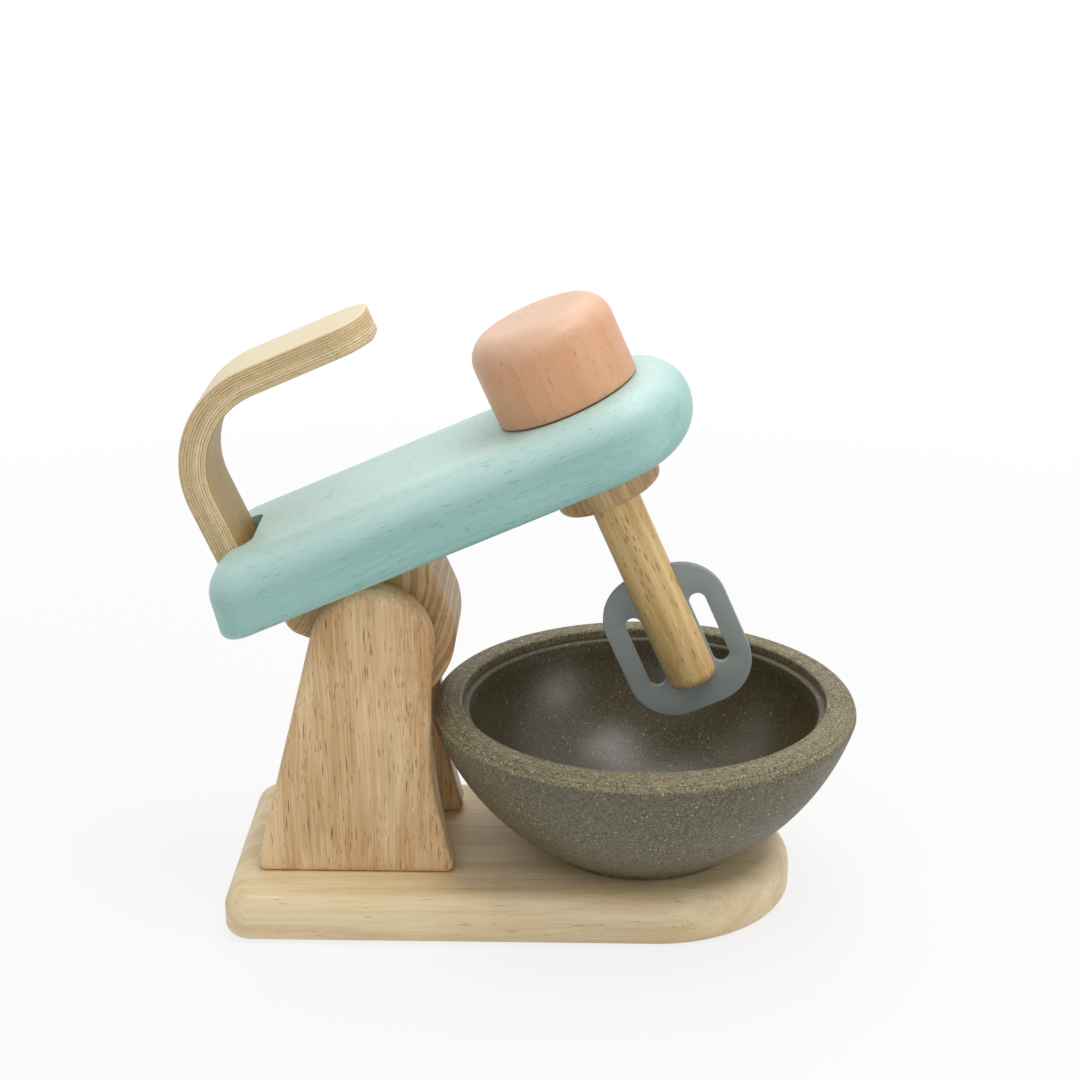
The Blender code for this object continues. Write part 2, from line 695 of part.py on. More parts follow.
def spindle(wood, stain, nylon, axis):
    """What the knob turns: knob, spindle dowel, drive disc and their washers."""
    knob = part("speed_knob", profile_mesh(knob_section()), stain, axis, (0, 0, KNOB_UNDER))
    screw(knob, TURN_STEPS)
    section = profile_mesh(disc_section(), closed=True)
    screw(part("drive_disc", section, wood, axis, (0, 0, DISC_UNDER)), TURN_STEPS)
    length = KNOB_UNDER + KNOB_SEAT - DISC_UNDER
    shaft = pin("spindle_dowel", DOWEL_RADIUS, length, DOWEL_CHAMFER, wood, axis, (0, 0, DISC_UNDER))
    hole(shaft, "drive_socket", SOCKET_RADIUS, SOCKET_DEPTH, axis, (0, 0, DISC_UNDER), INVERTED)
    washer("knob_washer", DOWEL_RADIUS, nylon, axis, (0, 0, HEAD_TOP + GAP))
    washer("disc_washer", DOWEL_RADIUS, nylon, axis, (0, 0, DISC_TOP + GAP))


def beater_section():
    """Half section of the beater's dowel: a shallow cup at the top and a rounded end."""
    centre = (DOWEL_RADIUS - BEATER_END_ROUND, BEATER_END_ROUND)
    section = [
        (0, BEATER_LENGTH - BEATER_CUP_DEPTH),
        (BEATER_CUP_RADIUS, BEATER_LENGTH - BEATER_CUP_DEPTH),
        (BEATER_CUP_RADIUS, BEATER_LENGTH),
        (DOWEL_RADIUS - DOWEL_CHAMFER, BEATER_LENGTH),
        (DOWEL_RADIUS, BEATER_LENGTH - DOWEL_CHAMFER),
    ]
    return section + arc(centre, BEATER_END_ROUND, 0, -90) + [(0, 0)]


def paddle_outline():
    """The paddle's outline, standing on its lower edge."""
    half = PADDLE_WIDTH / 2
    return filleted(
        [
            (-half, 0, PADDLE_CORNER),
            (half, 0, PADDLE_CORNER),
            (half, PADDLE_HEIGHT, PADDLE_CORNER),
            (-half, PADDLE_HEIGHT, PADDLE_CORNER),
        ]
    )


def slot_outline():
    """One long slot of the paddle, round at both ends, about its lower end's centre."""
    radius = PADDLE_SLOT_WIDTH / 2
    upper = (0, PADDLE_SLOT_LENGTH - PADDLE_SLOT_WIDTH)
    return arc((0, 0), radius, 180, 360) + arc(upper, radius, 0, 180)


def beater(wood, grey, nylon, axis):
    """The beater: a slit dowel, the slotted paddle that it grips and the peg it hangs on."""
    low = BEATER_TOP - BEATER_LENGTH
    dowel = part("beater_dowel", profile_mesh(beater_section()), wood, axis, (0, 0, low))
    screw(dowel, DOWEL_STEPS)
    foot = low - PADDLE_DROP
    reach = PADDLE_HEIGHT - PADDLE_DROP + GAP
    slit = box_mesh(2 * DOWEL_RADIUS + 2 * OVERRUN, PADDLE_THICK + 2 * GAP, reach + OVERRUN)
    cut(dowel, cutter("beater_slit", slit, axis, (0, 0, low + (reach - OVERRUN) / 2)))
    top = (0, 0, BEATER_TOP)
    hole(dowel, "beater_peg_hole", PEG_STEM_RADIUS + GAP, PEG_STEM_LENGTH + GAP, axis, top)
    peg("beater_peg", nylon, axis, top)
    mesh = slab_mesh(paddle_outline(), PADDLE_THICK)
    paddle = part("beater_paddle", mesh, grey, axis, (0, 0, foot), STANDING)
    across = DOWEL_RADIUS + PADDLE_SLOT_LAND + PADDLE_SLOT_WIDTH / 2
    rise = foot + PADDLE_SLOT_RISE + PADDLE_SLOT_WIDTH / 2
    for name, side in (("paddle_slot_rear", -1), ("paddle_slot_front", 1)):
        mesh = slab_mesh(slot_outline(), PADDLE_THICK + 2 * OVERRUN)
        cut(paddle, cutter(name, mesh, axis, (side * across, 0, rise), STANDING))


def bowl_section():
    """Half section of the thick bowl, up its hollow, over the stepped rim and down outside."""
    mouth = BOWL_RADIUS - BOWL_RIM_WIDTH
    throat = mouth - BOWL_STEP_WIDTH
    ledge = BOWL_HEIGHT - BOWL_STEP_DROP
    step = (throat + BOWL_LIP_ROUND, ledge - BOWL_LIP_ROUND)
    lip = (mouth + BOWL_LIP_ROUND, BOWL_HEIGHT - BOWL_LIP_ROUND)
    rim = (BOWL_RADIUS - BOWL_RIM_ROUND, BOWL_HEIGHT - BOWL_RIM_ROUND)
    foot = (BOWL_FOOT_RADIUS - BOWL_FOOT_ROUND, BOWL_FOOT_ROUND)
    hollow = bulged((BOWL_FLOOR_RADIUS, BOWL_FLOOR_THICK), (throat, step[1]), BOWL_HOLLOW_BULGE)
    wall = bulged((BOWL_FOOT_RADIUS, BOWL_FOOT_ROUND), (BOWL_RADIUS, rim[1]), BOWL_BULGE)
    section = [(0, BOWL_FLOOR_THICK)] + hollow[:-1]
    section += arc(step, BOWL_LIP_ROUND, 180, 90) + [(mouth, ledge)]
    section += arc(lip, BOWL_LIP_ROUND, 180, 90)
    section += arc(rim, BOWL_RIM_ROUND, 90, 0)
    section += wall[-2:0:-1]
    section += arc(foot, BOWL_FOOT_ROUND, 0, -90)
    return section + [(0, 0)]


def bowl(fibre):
    """The loose bowl, turned about its own axis."""
    middle = (PIVOT_X + SPINDLE_X, 0, SEAT_Z)
    screw(part("bowl", profile_mesh(bowl_section()), fibre, None, middle), BOWL_STEPS)


def main():
    """Build the mixer."""
    rubberwood = finish("natural_rubberwood", (0.72, 0.50, 0.30), 0.55)
    mint = finish("mint_stain", (0.42, 0.67, 0.63), 0.5)
    pink = finish("pink_stain", (0.80, 0.45, 0.33), 0.5)
    plywood = finish("bent_plywood", (0.74, 0.60, 0.40), 0.55)
    grey = finish("grey_paint", (0.22, 0.26, 0.29), 0.5)
    fibre = finish("wood_fibre", (0.09, 0.085, 0.06), 0.6)
    nylon = finish("milky_nylon", (0.78, 0.80, 0.76), 0.35)
    stand(rubberwood, nylon)
    raised = (0, -math.radians(TILT_REST_DEG), 0)
    tilt = pivot_frame("tilt_axis", None, (PIVOT_X, 0, PIVOT_Z), raised)
    pivot_block(rubberwood, nylon, tilt)
    head_board(mint, nylon, tilt)
    handle(plywood, tilt)
    axis = pivot_frame("spindle_axis", tilt, (SPINDLE_X, 0, 0))
    spindle(rubberwood, pink, nylon, axis)
    beater(rubberwood, grey, nylon, axis)
    bowl(fibre)


clear_scene()
PARTS = new_collection("toy_stand_mixer")
CUTTERS = new_collection("cutters")
main()
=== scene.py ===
"""Looks of a wooden toy stand mixer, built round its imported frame.

Every visible piece is made again as a smooth mesh with its own procedural finish, and rides on
the body of the solid that it stands for. Lengths are metres.
"""

from __future__ import annotations

import json
import logging
import math
from abc import ABC, abstractmethod
from collections.abc import Callable, Mapping, Sequence
from dataclasses import dataclass, field, replace
from enum import Enum

import bmesh
import bpy
from mathutils import Matrix, Vector

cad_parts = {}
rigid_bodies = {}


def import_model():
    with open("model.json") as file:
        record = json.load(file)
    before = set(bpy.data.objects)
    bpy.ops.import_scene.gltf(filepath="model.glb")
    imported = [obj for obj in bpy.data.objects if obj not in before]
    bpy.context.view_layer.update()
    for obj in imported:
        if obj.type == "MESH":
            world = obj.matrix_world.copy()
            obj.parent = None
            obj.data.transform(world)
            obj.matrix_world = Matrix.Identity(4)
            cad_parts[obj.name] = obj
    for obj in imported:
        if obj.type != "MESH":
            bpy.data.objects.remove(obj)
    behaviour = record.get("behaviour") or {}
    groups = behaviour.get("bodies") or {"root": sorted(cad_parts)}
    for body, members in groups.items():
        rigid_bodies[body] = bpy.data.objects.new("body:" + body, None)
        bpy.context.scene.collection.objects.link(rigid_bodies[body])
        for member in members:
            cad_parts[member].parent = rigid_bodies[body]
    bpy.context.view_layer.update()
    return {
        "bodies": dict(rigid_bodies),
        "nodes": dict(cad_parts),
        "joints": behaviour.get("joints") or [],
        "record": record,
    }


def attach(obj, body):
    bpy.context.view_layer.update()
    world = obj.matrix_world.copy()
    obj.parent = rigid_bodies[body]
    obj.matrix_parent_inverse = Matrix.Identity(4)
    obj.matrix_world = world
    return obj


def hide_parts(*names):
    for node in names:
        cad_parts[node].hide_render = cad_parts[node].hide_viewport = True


LOG = logging.getLogger("toy_mixer")

Colour = tuple[float, float, float]
Flat = tuple[float, float]
Outline = list[Flat]

GAP = 0.0003
OVERCUT = 0.002
TILT = math.radians(23.5)
STANDING = Matrix.Rotation(math.pi / 2, 4, "X")
LYING = Matrix.Rotation(-math.pi / 2, 4, "X")
INVERTED = Matrix.Rotation(math.pi, 4, "X")

# Radius and depth of the hole that takes a peg's ball, and of the hole that its stem is glued in.
SOCKET: Flat = (0.004, 0.008)
STEM: Flat = (0.0028, 0.0103)


def srgb(red: int, green: int, blue: int) -> Colour:
    """Turn a display colour of 0 to 255 into the linear colour that a shader takes.

    Args:
        red: Red, 0 to 255.
        green: Green, 0 to 255.
        blue: Blue, 0 to 255.

    Returns:
        The linear colour.
    """
    shares = [value / 255 for value in (red, green, blue)]
    return tuple(s / 12.92 if s <= 0.04045 else ((s + 0.055) / 1.055) ** 2.4 for s in shares)


class Link:
    """One output of a shader node, which takes part in arithmetic."""

    def __init__(self, graph: Graph, socket: bpy.types.NodeSocket) -> None:
        """Keep the graph and the socket."""
        self.graph = graph
        self.socket = socket

    def _math(self, operation: str, *values: Value) -> Link:
        """Add a Math node on these values."""
        return self.graph.add("ShaderNodeMath", {"operation": operation}, dict(enumerate(values)))

    def other(self, output: str) -> Link:
        """Another output of the same node."""
        return Link(self.graph, self.socket.node.outputs[output])

    def __add__(self, value: Value) -> Link:
        """Sum."""
        return self._math("ADD", self, value)

    __radd__ = __add__

    def __sub__(self, value: Value) -> Link:
        """Difference."""
        return self._math("SUBTRACT", self, value)

    def __rsub__(self, value: Value) -> Link:
        """Difference, with this output taken away."""
        return self._math("SUBTRACT", value, self)

    def __mul__(self, value: Value) -> Link:
        """Product."""
        return self._math("MULTIPLY", self, value)

    __rmul__ = __mul__

    def __truediv__(self, value: Value) -> Link:
        """Quotient."""
        return self._math("DIVIDE", self, value)

    def __pow__(self, value: Value) -> Link:
        """Power."""
        return self._math("POWER", self, value)

    def __neg__(self) -> Link:
        """Negative."""
        return self._math("MULTIPLY", self, -1.0)

    def __abs__(self) -> Link:
        """Size without sign."""
        return self._math("ABSOLUTE", self)

    def __lt__(self, value: Value) -> Link:
        """One where this is less, and zero elsewhere."""
        return self._math("LESS_THAN", self, value)

    def lowest(self, value: Value) -> Link:
        """The smaller of the two."""
        return self._math("MINIMUM", self, value)

    def highest(self, value: Value) -> Link:
        """The larger of the two."""
        return self._math("MAXIMUM", self, value)

    def whole(self) -> Link:
        """Rounded down."""
        return self._math("FLOOR", self)

    def rest(self) -> Link:
        """What is left after rounding down."""
        return self._math("FRACT", self)

    def clipped(self) -> Link:
        """Kept between zero and one."""
        return self.highest(0.0).lowest(1.0)


Value = Link | float | Sequence[float]
Place = tuple[Link, Link, Link]


class Graph:
    """The node tree of one material, on a piece whose own frame lies at a place."""

    def __init__(self, name: str, frame: Matrix) -> None:
        """Start a material with an empty tree.

        Args:
            name: The material's name.
            frame: Where the piece's own frame lies.
        """
        self.material = bpy.data.materials.new(name)
        self.material.use_nodes = True
        self.frame = frame.copy()
        self.tree = self.material.node_tree
        self.tree.nodes.clear()

    def add(
        self,
        kind: str,
        settings: Mapping[str, object] | None = None,
        inputs: Mapping[int | str, Value] | None = None,
        output: int | str = 0,
    ) -> Link:
        """Add one node.

        Args:
            kind: The node's type.
            settings: What is set on the node itself.
            inputs: Values or links by the name or number of the socket.
            output: The output that is wanted.

        Returns:
            The wanted output.
        """
        node = self.tree.nodes.new(kind)
        for name, value in (settings or {}).items():
            setattr(node, name, value)
        for key, value in (inputs or {}).items():
            socket = node.inputs[key]
            if isinstance(value, Link):
                self.tree.links.new(value.socket, socket)
            elif socket.type == "RGBA" and len(value) == 3:
                socket.default_value = (*value, 1.0)
            else:
                socket.default_value = value
        return Link(self, node.outputs[output])

    def place(self) -> Place:
        """The three coordinates of a point in the piece's own frame.

        Returns:
            Along X, Y and Z.
        """
        at = self.add("ShaderNodeTexCoord", output="Object")
        where, turn = self.frame.to_translation(), self.frame.to_euler()
        inputs = {"Vector": at, "Location": where, "Rotation": turn}
        return self.split(self.add("ShaderNodeMapping", {"vector_type": "TEXTURE"}, inputs))

    def facing(self) -> Place:
        """The three parts of the surface's direction."""
        return self.split(self.add("ShaderNodeTexCoord", output="Normal"))

    def split(self, vector: Link) -> Place:
        """The three parts of a vector."""
        first = self.add("ShaderNodeSeparateXYZ", {}, {0: vector})
        return first, first.other("Y"), first.other("Z")

    def join(self, x: Value, y: Value, z: Value) -> Link:
        """A vector of three parts."""
        return self.add("ShaderNodeCombineXYZ", {}, {0: x, 1: y, 2: z})

    def noise(self, vector: Link, detail: float = 2.0, rough: float = 0.5) -> Link:
        """Smooth noise from 0 to 1, about one unit to a lump."""
        inputs = {"Vector": vector, "Scale": 1.0, "Detail": detail, "Roughness": rough}
        return self.add("ShaderNodeTexNoise", {"noise_dimensions": "3D"}, inputs)

    def noise_pair(self, vector: Link) -> tuple[Link, Link]:
        """Two smooth noises that have nothing to do with each other."""
        first = self.noise(vector, 1.0)
        return first, self.split(first.other("Color"))[1]

    def noise_along(self, value: Link, detail: float = 2.0, rough: float = 0.5) -> Link:
        """Smooth noise of one value."""
        inputs = {"W": value, "Scale": 1.0, "Detail": detail, "Roughness": rough}
        return self.add("ShaderNodeTexNoise", {"noise_dimensions": "1D"}, inputs)

    def fade(self, value: Value, low: Value, high: Value) -> Link:
        """A smooth step from 0 at low to 1 at high."""
        inputs = {"Value": value, "From Min": low, "From Max": high}
        return self.add("ShaderNodeMapRange", {"interpolation_type": "SMOOTHSTEP"}, inputs)

    def grains(self, vector: Link, share: Value, radius: float) -> Link:
        """Scattered soft-edged grains, one to a unit cell.

        Args:
            vector: Where, in cells.
            share: Share of the cells that hold a grain.
            radius: Usual radius of a grain, in cells.

        Returns:
            One inside a grain and zero outside, fainter in some grains.
        """
        cell = self.add("ShaderNodeTexVoronoi", {}, {"Vector": vector, "Scale": 1.0})
        chance, height, tone = self.split(cell.other("Color"))
        size = height * radius + 0.5 * radius
        return self.fade(cell, size, size * 0.5) * (chance < share) * (tone * 0.6 + 0.4)

    def mix(self, factor: Value, first: Value, second: Value) -> Link:
        """Blend two colours."""
        inputs = {0: factor, 6: first, 7: second}
        return self.add("ShaderNodeMix", {"data_type": "RGBA"}, inputs, 2)

    def bump(self, height: Link, depth: float) -> Link:
        """Turn a height of 0 to 1 into a surface direction."""
        return self.add("ShaderNodeBump", {}, {"Height": height, "Distance": depth})

    def finish(
        self,
        base: Value,
        rough: Value,
        normal: Link,
        fixed: Mapping[str, Value],
    ) -> bpy.types.Material:
        """Close the tree with a Principled shader.

        Args:
            base: Base colour.
            rough: Roughness.
            normal: Surface direction.
            fixed: Values that are the same all over, by socket.

        Returns:
            The material.
        """
        inputs = {"Base Color": base, "Roughness": rough, "Normal": normal, **fixed}
        return self.close(self.add("ShaderNodeBsdfPrincipled", {}, inputs))

    def close(self, shader: Link) -> bpy.types.Material:
        """Send a shader to the surface.

        Args:
            shader: The shader.

        Returns:
            The material.
        """
        out = self.tree.nodes.new("ShaderNodeOutputMaterial")
        self.tree.links.new(shader.socket, out.inputs["Surface"])
        return self.material


class Grain(Enum):
    """Which axis of a piece's own frame its grain runs along."""

    ALONG_X = (0, 1, 2)
    ALONG_Y = (1, 0, 2)
    ALONG_Z = (2, 0, 1)

    def sort(self, parts: Place) -> Place:
        """Put coordinates in the order along, across and through the grain."""
        return tuple(parts[index] for index in self.value)


@dataclass(frozen=True)
class Finish(ABC):
    """What all finishes share: a name, and a tree in the piece's own frame."""

    name: str

    def start(self, piece: bpy.types.Object) -> Graph:
        """Open the tree for one piece."""
        return Graph(f"{self.name}_{piece.name}", piece.matrix_world)

    @abstractmethod
    def material(self, piece: bpy.types.Object) -> bpy.types.Material:
        """Build the finish for one piece.

        Args:
            piece: The piece, still in its own frame.

        Returns:
            The material.
        """


@dataclass(frozen=True)
class Timber(Finish):
    """Solid rubberwood, clear or stained, with rings, fibre streaks, open pores and, on some pieces, a
    painted highlight on the top.
    """

    pale: Colour
    deep: Colour
    pore: Colour
    grain: Grain
    heart: Flat = (0.050, -0.090)
    ring: float = 0.0045
    rings: float = 0.35
    fibres: float = 0.8
    threads: float = 0.45
    clouds: float = 1.1
    pore_share: float = 0.66
    pore_length: float = 0.0058
    pore_width: float = 0.0003
    pore_mark: float = 0.85
    fibre_size: Flat = (0.030, 0.0005)
    thread_size: Flat = (0.080, 0.0017)
    band_size: Flat = (0.160, 0.0075)
    cloud_size: Flat = (0.045, 0.014)
    sway: float = 0.008
    shift: float = 0.0
    # The next two fields give a painted highlight on the piece's top: its paler colour, and the heights
    # in the piece's own frame over which it fades in.
    painted_top_light: Colour | None = None
    painted_top_light_heights: Flat = (0.0, 1.0)
    roughness: float = 0.5
    coat: float = 0.12

    def _streaks(self, graph: Graph, place: Place, size: Flat, detail: float, rough: float = 0.5) -> Link:
        """Noise drawn out along the grain.

        Args:
            graph: The tree.
            place: Where, along, across and through the grain.
            size: Length and width of a streak.
            detail: Layers of finer noise.
            rough: Strength of the finer layers.

        Returns:
            The noise, from 0 to 1.
        """
        along, across, through = place
        long, fine = size
        return graph.noise(graph.join(along / long, across / fine, through / fine), detail, rough)

    def _pores(self, graph: Graph, place: Place, density: Link) -> Link:
        """Open pores, seen as dashes along the grain and dots on its end.

        Args:
            graph: The tree.
            place: Where, along, across and through the grain.
            density: Share of the places that hold a pore.

        Returns:
            One inside a pore and zero outside.
        """
        along, across, through = place
        marks = None
        for size, step in ((1.0, 0.0), (0.5, 7.3)):
            reach = 2.2 * self.pore_length * size
            width = 2.4 * self.pore_width * (0.4 + 0.6 * size)
            vector = graph.join(along / reach + step, across / width + step, through / width)
            found = graph.grains(vector, density, 0.24)
            marks = found if marks is None else marks.highest(found)
        return marks

    def material(self, piece: bpy.types.Object) -> bpy.types.Material:
        """Build the wood for one piece.

        Args:
            piece: The piece, still in its own frame.

        Returns:
            The material.
        """
        graph = self.start(piece)
        spot = graph.place()
        along, across, through = self.grain.sort(spot)
        along = along + self.shift
        sway, swing = graph.noise_pair(graph.join(along * 11, across * 26, through * 26))
        across = across + (sway - 0.5) * self.sway
        through = through + (swing - 0.5) * self.sway
        place = (along, across, through)
        out, up = across - self.heart[0], through - self.heart[1]
        ring = graph.noise_along((out * out + up * up) ** 0.5 / self.ring, 3.0, 0.6)
        fibre = self._streaks(graph, place, self.fibre_size, 3.0, 0.7)
        thread = self._streaks(graph, place, self.thread_size, 2.0, 0.6)
        band = self._streaks(graph, place, self.band_size, 1.0)
        cloud = self._streaks(graph, place, self.cloud_size, 2.0)
        tone = (graph.fade(ring, 0.34, 0.66) - 0.5) * self.rings + (fibre - 0.5) * (2 * self.fibres)
        tone = tone + (thread - 0.5) * (2 * self.threads) + (band + cloud - 1.0) * self.clouds + 0.45
        density = (graph.fade(band, 0.30, 0.70) * 0.9 + 0.35) * self.pore_share
        pores = self._pores(graph, place, density)
        base = graph.mix(tone.clipped(), self.pale, self.deep)
        # Painted light: the top of the piece is blended towards a paler colour that stands for the light
        # falling on its upper face.
        if self.painted_top_light:
            base = graph.mix(graph.fade(spot[2], *self.painted_top_light_heights) * 0.6, base, self.painted_top_light)
        base = graph.mix(pores * self.pore_mark, base, self.pore)
        rough = (fibre - 0.5) * 0.16 + pores * 0.15 + self.roughness
        fixed = {"Coat Weight": self.coat, "Coat Roughness": 0.35, "Specular IOR Level": 0.45}
        return graph.finish(base, rough, graph.bump(fibre * 0.22 - pores, 0.00006), fixed)


@dataclass(frozen=True)
class Plywood(Finish):
    """A bent strip of thin plies, solid through its thickness and following its bend."""

    rear: float
    top: float
    bend: float
    thick: float
    plies: int = 10
    veneer: Colour = srgb(228, 214, 180)
    cream: Colour = srgb(238, 219, 176)
    tan: Colour = srgb(194, 160, 108)
    inner: Colour = srgb(174, 142, 86)
    glue: Colour = srgb(78, 52, 28)

    def _strip_place(self, graph: Graph) -> Place:
        """Turn a point of the side view into its place along, through and across the strip.

        Args:
            graph: The tree.

        Returns:
            Run along the strip, depth from its outer face, and side.
        """
        x, up, side = graph.place()
        out, rise = x - (self.rear + self.bend), up - (self.top - self.bend)
        back, lift = (-out).highest(0.0), rise.highest(0.0)
        middle = self.bend - self.thick / 2
        turn = graph.add("ShaderNodeMath", {"operation": "ARCTAN2"}, {0: lift, 1: back + 1e-6})
        run = rise.lowest(0.0) + out.highest(0.0) + turn * middle
        depth = self.bend - (back * back + lift * lift) ** 0.5
        return run, depth, side

    def material(self, piece: bpy.types.Object) -> bpy.types.Material:
        """Build the plywood for one piece.

        Args:
            piece: The piece, still in its own frame.

        Returns:
            The material.
        """
        graph = self.start(piece)
        run, depth, side = self._strip_place(graph)
        wander = graph.noise(graph.join(run / 0.020, depth / 0.02, side / 0.020), 2.0)
        layer = (depth + (wander - 0.5) * 0.0006) * (self.plies / self.thick)
        index, place = layer.whole(), layer.rest()
        shade = graph.noise_along(index * 3.7 + 0.4, 0.0)
        fibre = graph.noise(graph.join(run / 0.014, depth / 0.0003, side / 0.0005), 3.0, 0.65)
        ends = graph.noise(graph.join(run / 0.0007, depth / 0.0003, side / 0.010), 2.0, 0.6)
        long_ply = graph.mix(((fibre - 0.5) * 1.9 + shade * 0.9).clipped(), self.cream, self.tan)
        cross_ply = graph.mix(((ends - 0.5) * 2.0 + shade * 0.8 + 0.1).clipped(), self.cream, self.tan)
        core = graph.mix((index * 0.5).rest() * 2, long_ply, cross_ply)
        edge = (place - 0.5) * (place - 0.5) * 4
        breaks = graph.noise(graph.join(run / 0.0045, index * 5.1, side / 0.01), 2.0, 0.7)
        strong = graph.noise_along(index * 7.9 + 2.2, 0.0)
        line = graph.fade(breaks + strong * 0.5, 0.60, 0.80) * 0.80 + 0.14
        core = graph.mix(graph.fade(edge, 0.45, 0.90) * line, core, self.glue)
        silk = graph.noise(graph.join(run / 0.045, depth / 0.01, side / 0.0009), 3.0, 0.6)
        sheet = graph.noise(graph.join(run / 0.060, depth / 0.01, side / 0.0050), 2.0)
        veil = ((silk - 0.5) * 1.5 + (sheet - 0.5) * 1.2 + 0.25).clipped()
        face = self.thick / self.plies * 0.5
        outer = graph.mix(veil, self.veneer, self.cream)
        base = graph.mix(graph.fade(depth, face, face * 0.7), core, outer)
        inner = graph.mix(veil, self.inner, self.tan)
        base = graph.mix(graph.fade(depth, self.thick - face, self.thick - face * 0.7), base, inner)
        height = fibre * 0.3 + silk * 0.2 - line * 0.6
        fixed = {"Coat Weight": 0.1, "Coat Roughness": 0.35, "Specular IOR Level": 0.4}
        return graph.finish(base, (silk - 0.5) * 0.15 + 0.5, graph.bump(height, 0.00005), fixed)


@dataclass(frozen=True)
class WoodFibre(Finish):
    """Moulded wood fibre: a dark ground full of pale and golden flecks, turned at the rim."""

    ledge: float
    height: float
    outside: Colour = srgb(106, 100, 78)
    inside: Colour = srgb(84, 75, 48)
    rim: Colour = srgb(142, 132, 102)
    gold: Colour = srgb(172, 150, 92)
    straw: Colour = srgb(208, 198, 162)
    dark: Colour = srgb(40, 37, 26)
    grit: float = 0.0009
    fleck: float = 0.00085
    chip: float = 0.0012
    pit: float = 0.0009
    band: float = 0.0036
    groove: float = 0.0008

    def _flecks(self, graph: Graph, place: Place, size: float, share: Value) -> Link:
        """Short fibres that lie in three directions.

        Args:
            graph: The tree.
            place: Where.
            size: Width of a cell that may hold one.
            share: Share of the cells that do.

        Returns:
            One inside a fibre and zero outside.
        """
        x, y, z = place
        found = None
        for index, stretch in enumerate(((2.2, 1.0, 1.0), (1.0, 2.2, 1.0), (1.0, 1.1, 2.0))):
            step = index * 11.3 + size * 9000
            vector = graph.join(
                (x + y * 0.3) / (size * stretch[0]) + step,
                (y - x * 0.3) / (size * stretch[1]),
                z / (size * stretch[2]) - step,
            )
            layer = graph.grains(vector, share, 0.27)
            found = layer if found is None else found.highest(layer)
        return found

    def material(self, piece: bpy.types.Object) -> bpy.types.Material:
        """Build the fibre board for one piece.

        Args:
            piece: The piece, still in its own frame.

        Returns:
            The material.
        """
        graph = self.start(piece)
        x, y, z = graph.place()
        face_x, face_y, face_z = graph.facing()
        radius = (x * x + y * y) ** 0.5 + 1e-6
        outward = (face_x * x + face_y * y) / radius
        coarse = graph.noise(graph.join(x / 0.004, y / 0.004, z / 0.004), 3.0, 0.6)
        broad = graph.noise(graph.join(x / 0.030, y / 0.030, z / 0.022), 2.0)
        sand = graph.noise(graph.join(x / self.grit, y / self.grit, z / self.grit), 2.0, 0.8)
        within = graph.fade(outward, 0.20, 0.02) * (z < self.ledge + 0.0003) * (-face_z < 0.5)
        low = self.height - self.band + (coarse - 0.5) * 0.0010
        on_rim = graph.fade(z, low, low + 0.0007) * (1.0 - within)
        ground = graph.mix(on_rim, self.outside, self.rim)
        ground = graph.mix(within, ground, self.inside)
        shade = (broad - 0.5) * 0.5 + (coarse - 0.5) * 0.6 + (sand - 0.5) * 3.4 + 0.30
        ground = graph.mix(shade.clipped(), ground, self.dark)
        worn = graph.fade(broad + (coarse - 0.5) * 0.5, 0.40, 0.66)
        usual = on_rim * 0.25 + worn * 0.20 - within * 0.12 + 0.36
        fine = self._flecks(graph, (x, y, z), self.fleck, usual)
        bold = self._flecks(graph, (x, y, z), self.chip, on_rim * 0.14 + worn * 0.07 + 0.07)
        pits = self._flecks(graph, (y, x, z), self.pit, 0.22)
        base = graph.mix(pits * 0.55, ground, self.dark)
        base = graph.mix(fine * (0.75 - within * 0.35), base, self.gold)
        base = graph.mix(bold * (0.75 - within * 0.35), base, self.straw)
        turned = graph.noise_along(radius / self.groove, 1.0)
        turned = graph.fade(turned, 0.62, 0.42) * on_rim
        base = graph.mix(graph.fade(turned, 0.4, 0.0) * on_rim * 0.35, base, self.dark)
        height = sand * 0.4 + coarse * 0.3 + fine * 0.2 + turned * 0.5 - pits * 0.4
        hollow = within * graph.fade(z, self.ledge - 0.0015, self.ledge - 0.006)
        rough = hollow * -0.23 + on_rim * 0.14 + (coarse - 0.5) * 0.08 + 0.53
        return graph.finish(base, rough, graph.bump(height, 0.00008), {"Specular IOR Level": 0.6})


@dataclass(frozen=True)
class MattPaint(Finish):
    """Flat slate paint, with a painted highlight that makes the cut edge a little paler."""

    face: Colour
    # edge is the paler grey of the painted highlight on the cut edge.
    edge: Colour
    thick: float

    def material(self, piece: bpy.types.Object) -> bpy.types.Material:
        """Build the paint for one piece.

        Args:
            piece: The piece, still in its own frame.

        Returns:
            The material.
        """
        graph = self.start(piece)
        x, y, z = graph.place()
        broad = graph.noise(graph.join(x / 0.012, y / 0.012, z / 0.012), 2.0)
        fine = graph.noise(graph.join(x / 0.0005, y / 0.0011, z / 0.0005), 3.0, 0.6)
        # Painted highlight: the cut edge, where the point lies inside the thickness, is blended towards
        # the paler edge colour.
        side = graph.fade(abs(z), self.thick * 0.40, self.thick * 0.47)
        tone = ((broad - 0.5) * 0.35 + (fine - 0.5) * 0.25 + side * 0.7).clipped()
        base = graph.mix(tone, self.face, self.edge)
        rough = (broad - 0.5) * 0.12 + 0.5
        return graph.finish(base, rough, graph.bump(fine, 0.00003), {"Specular IOR Level": 0.4})


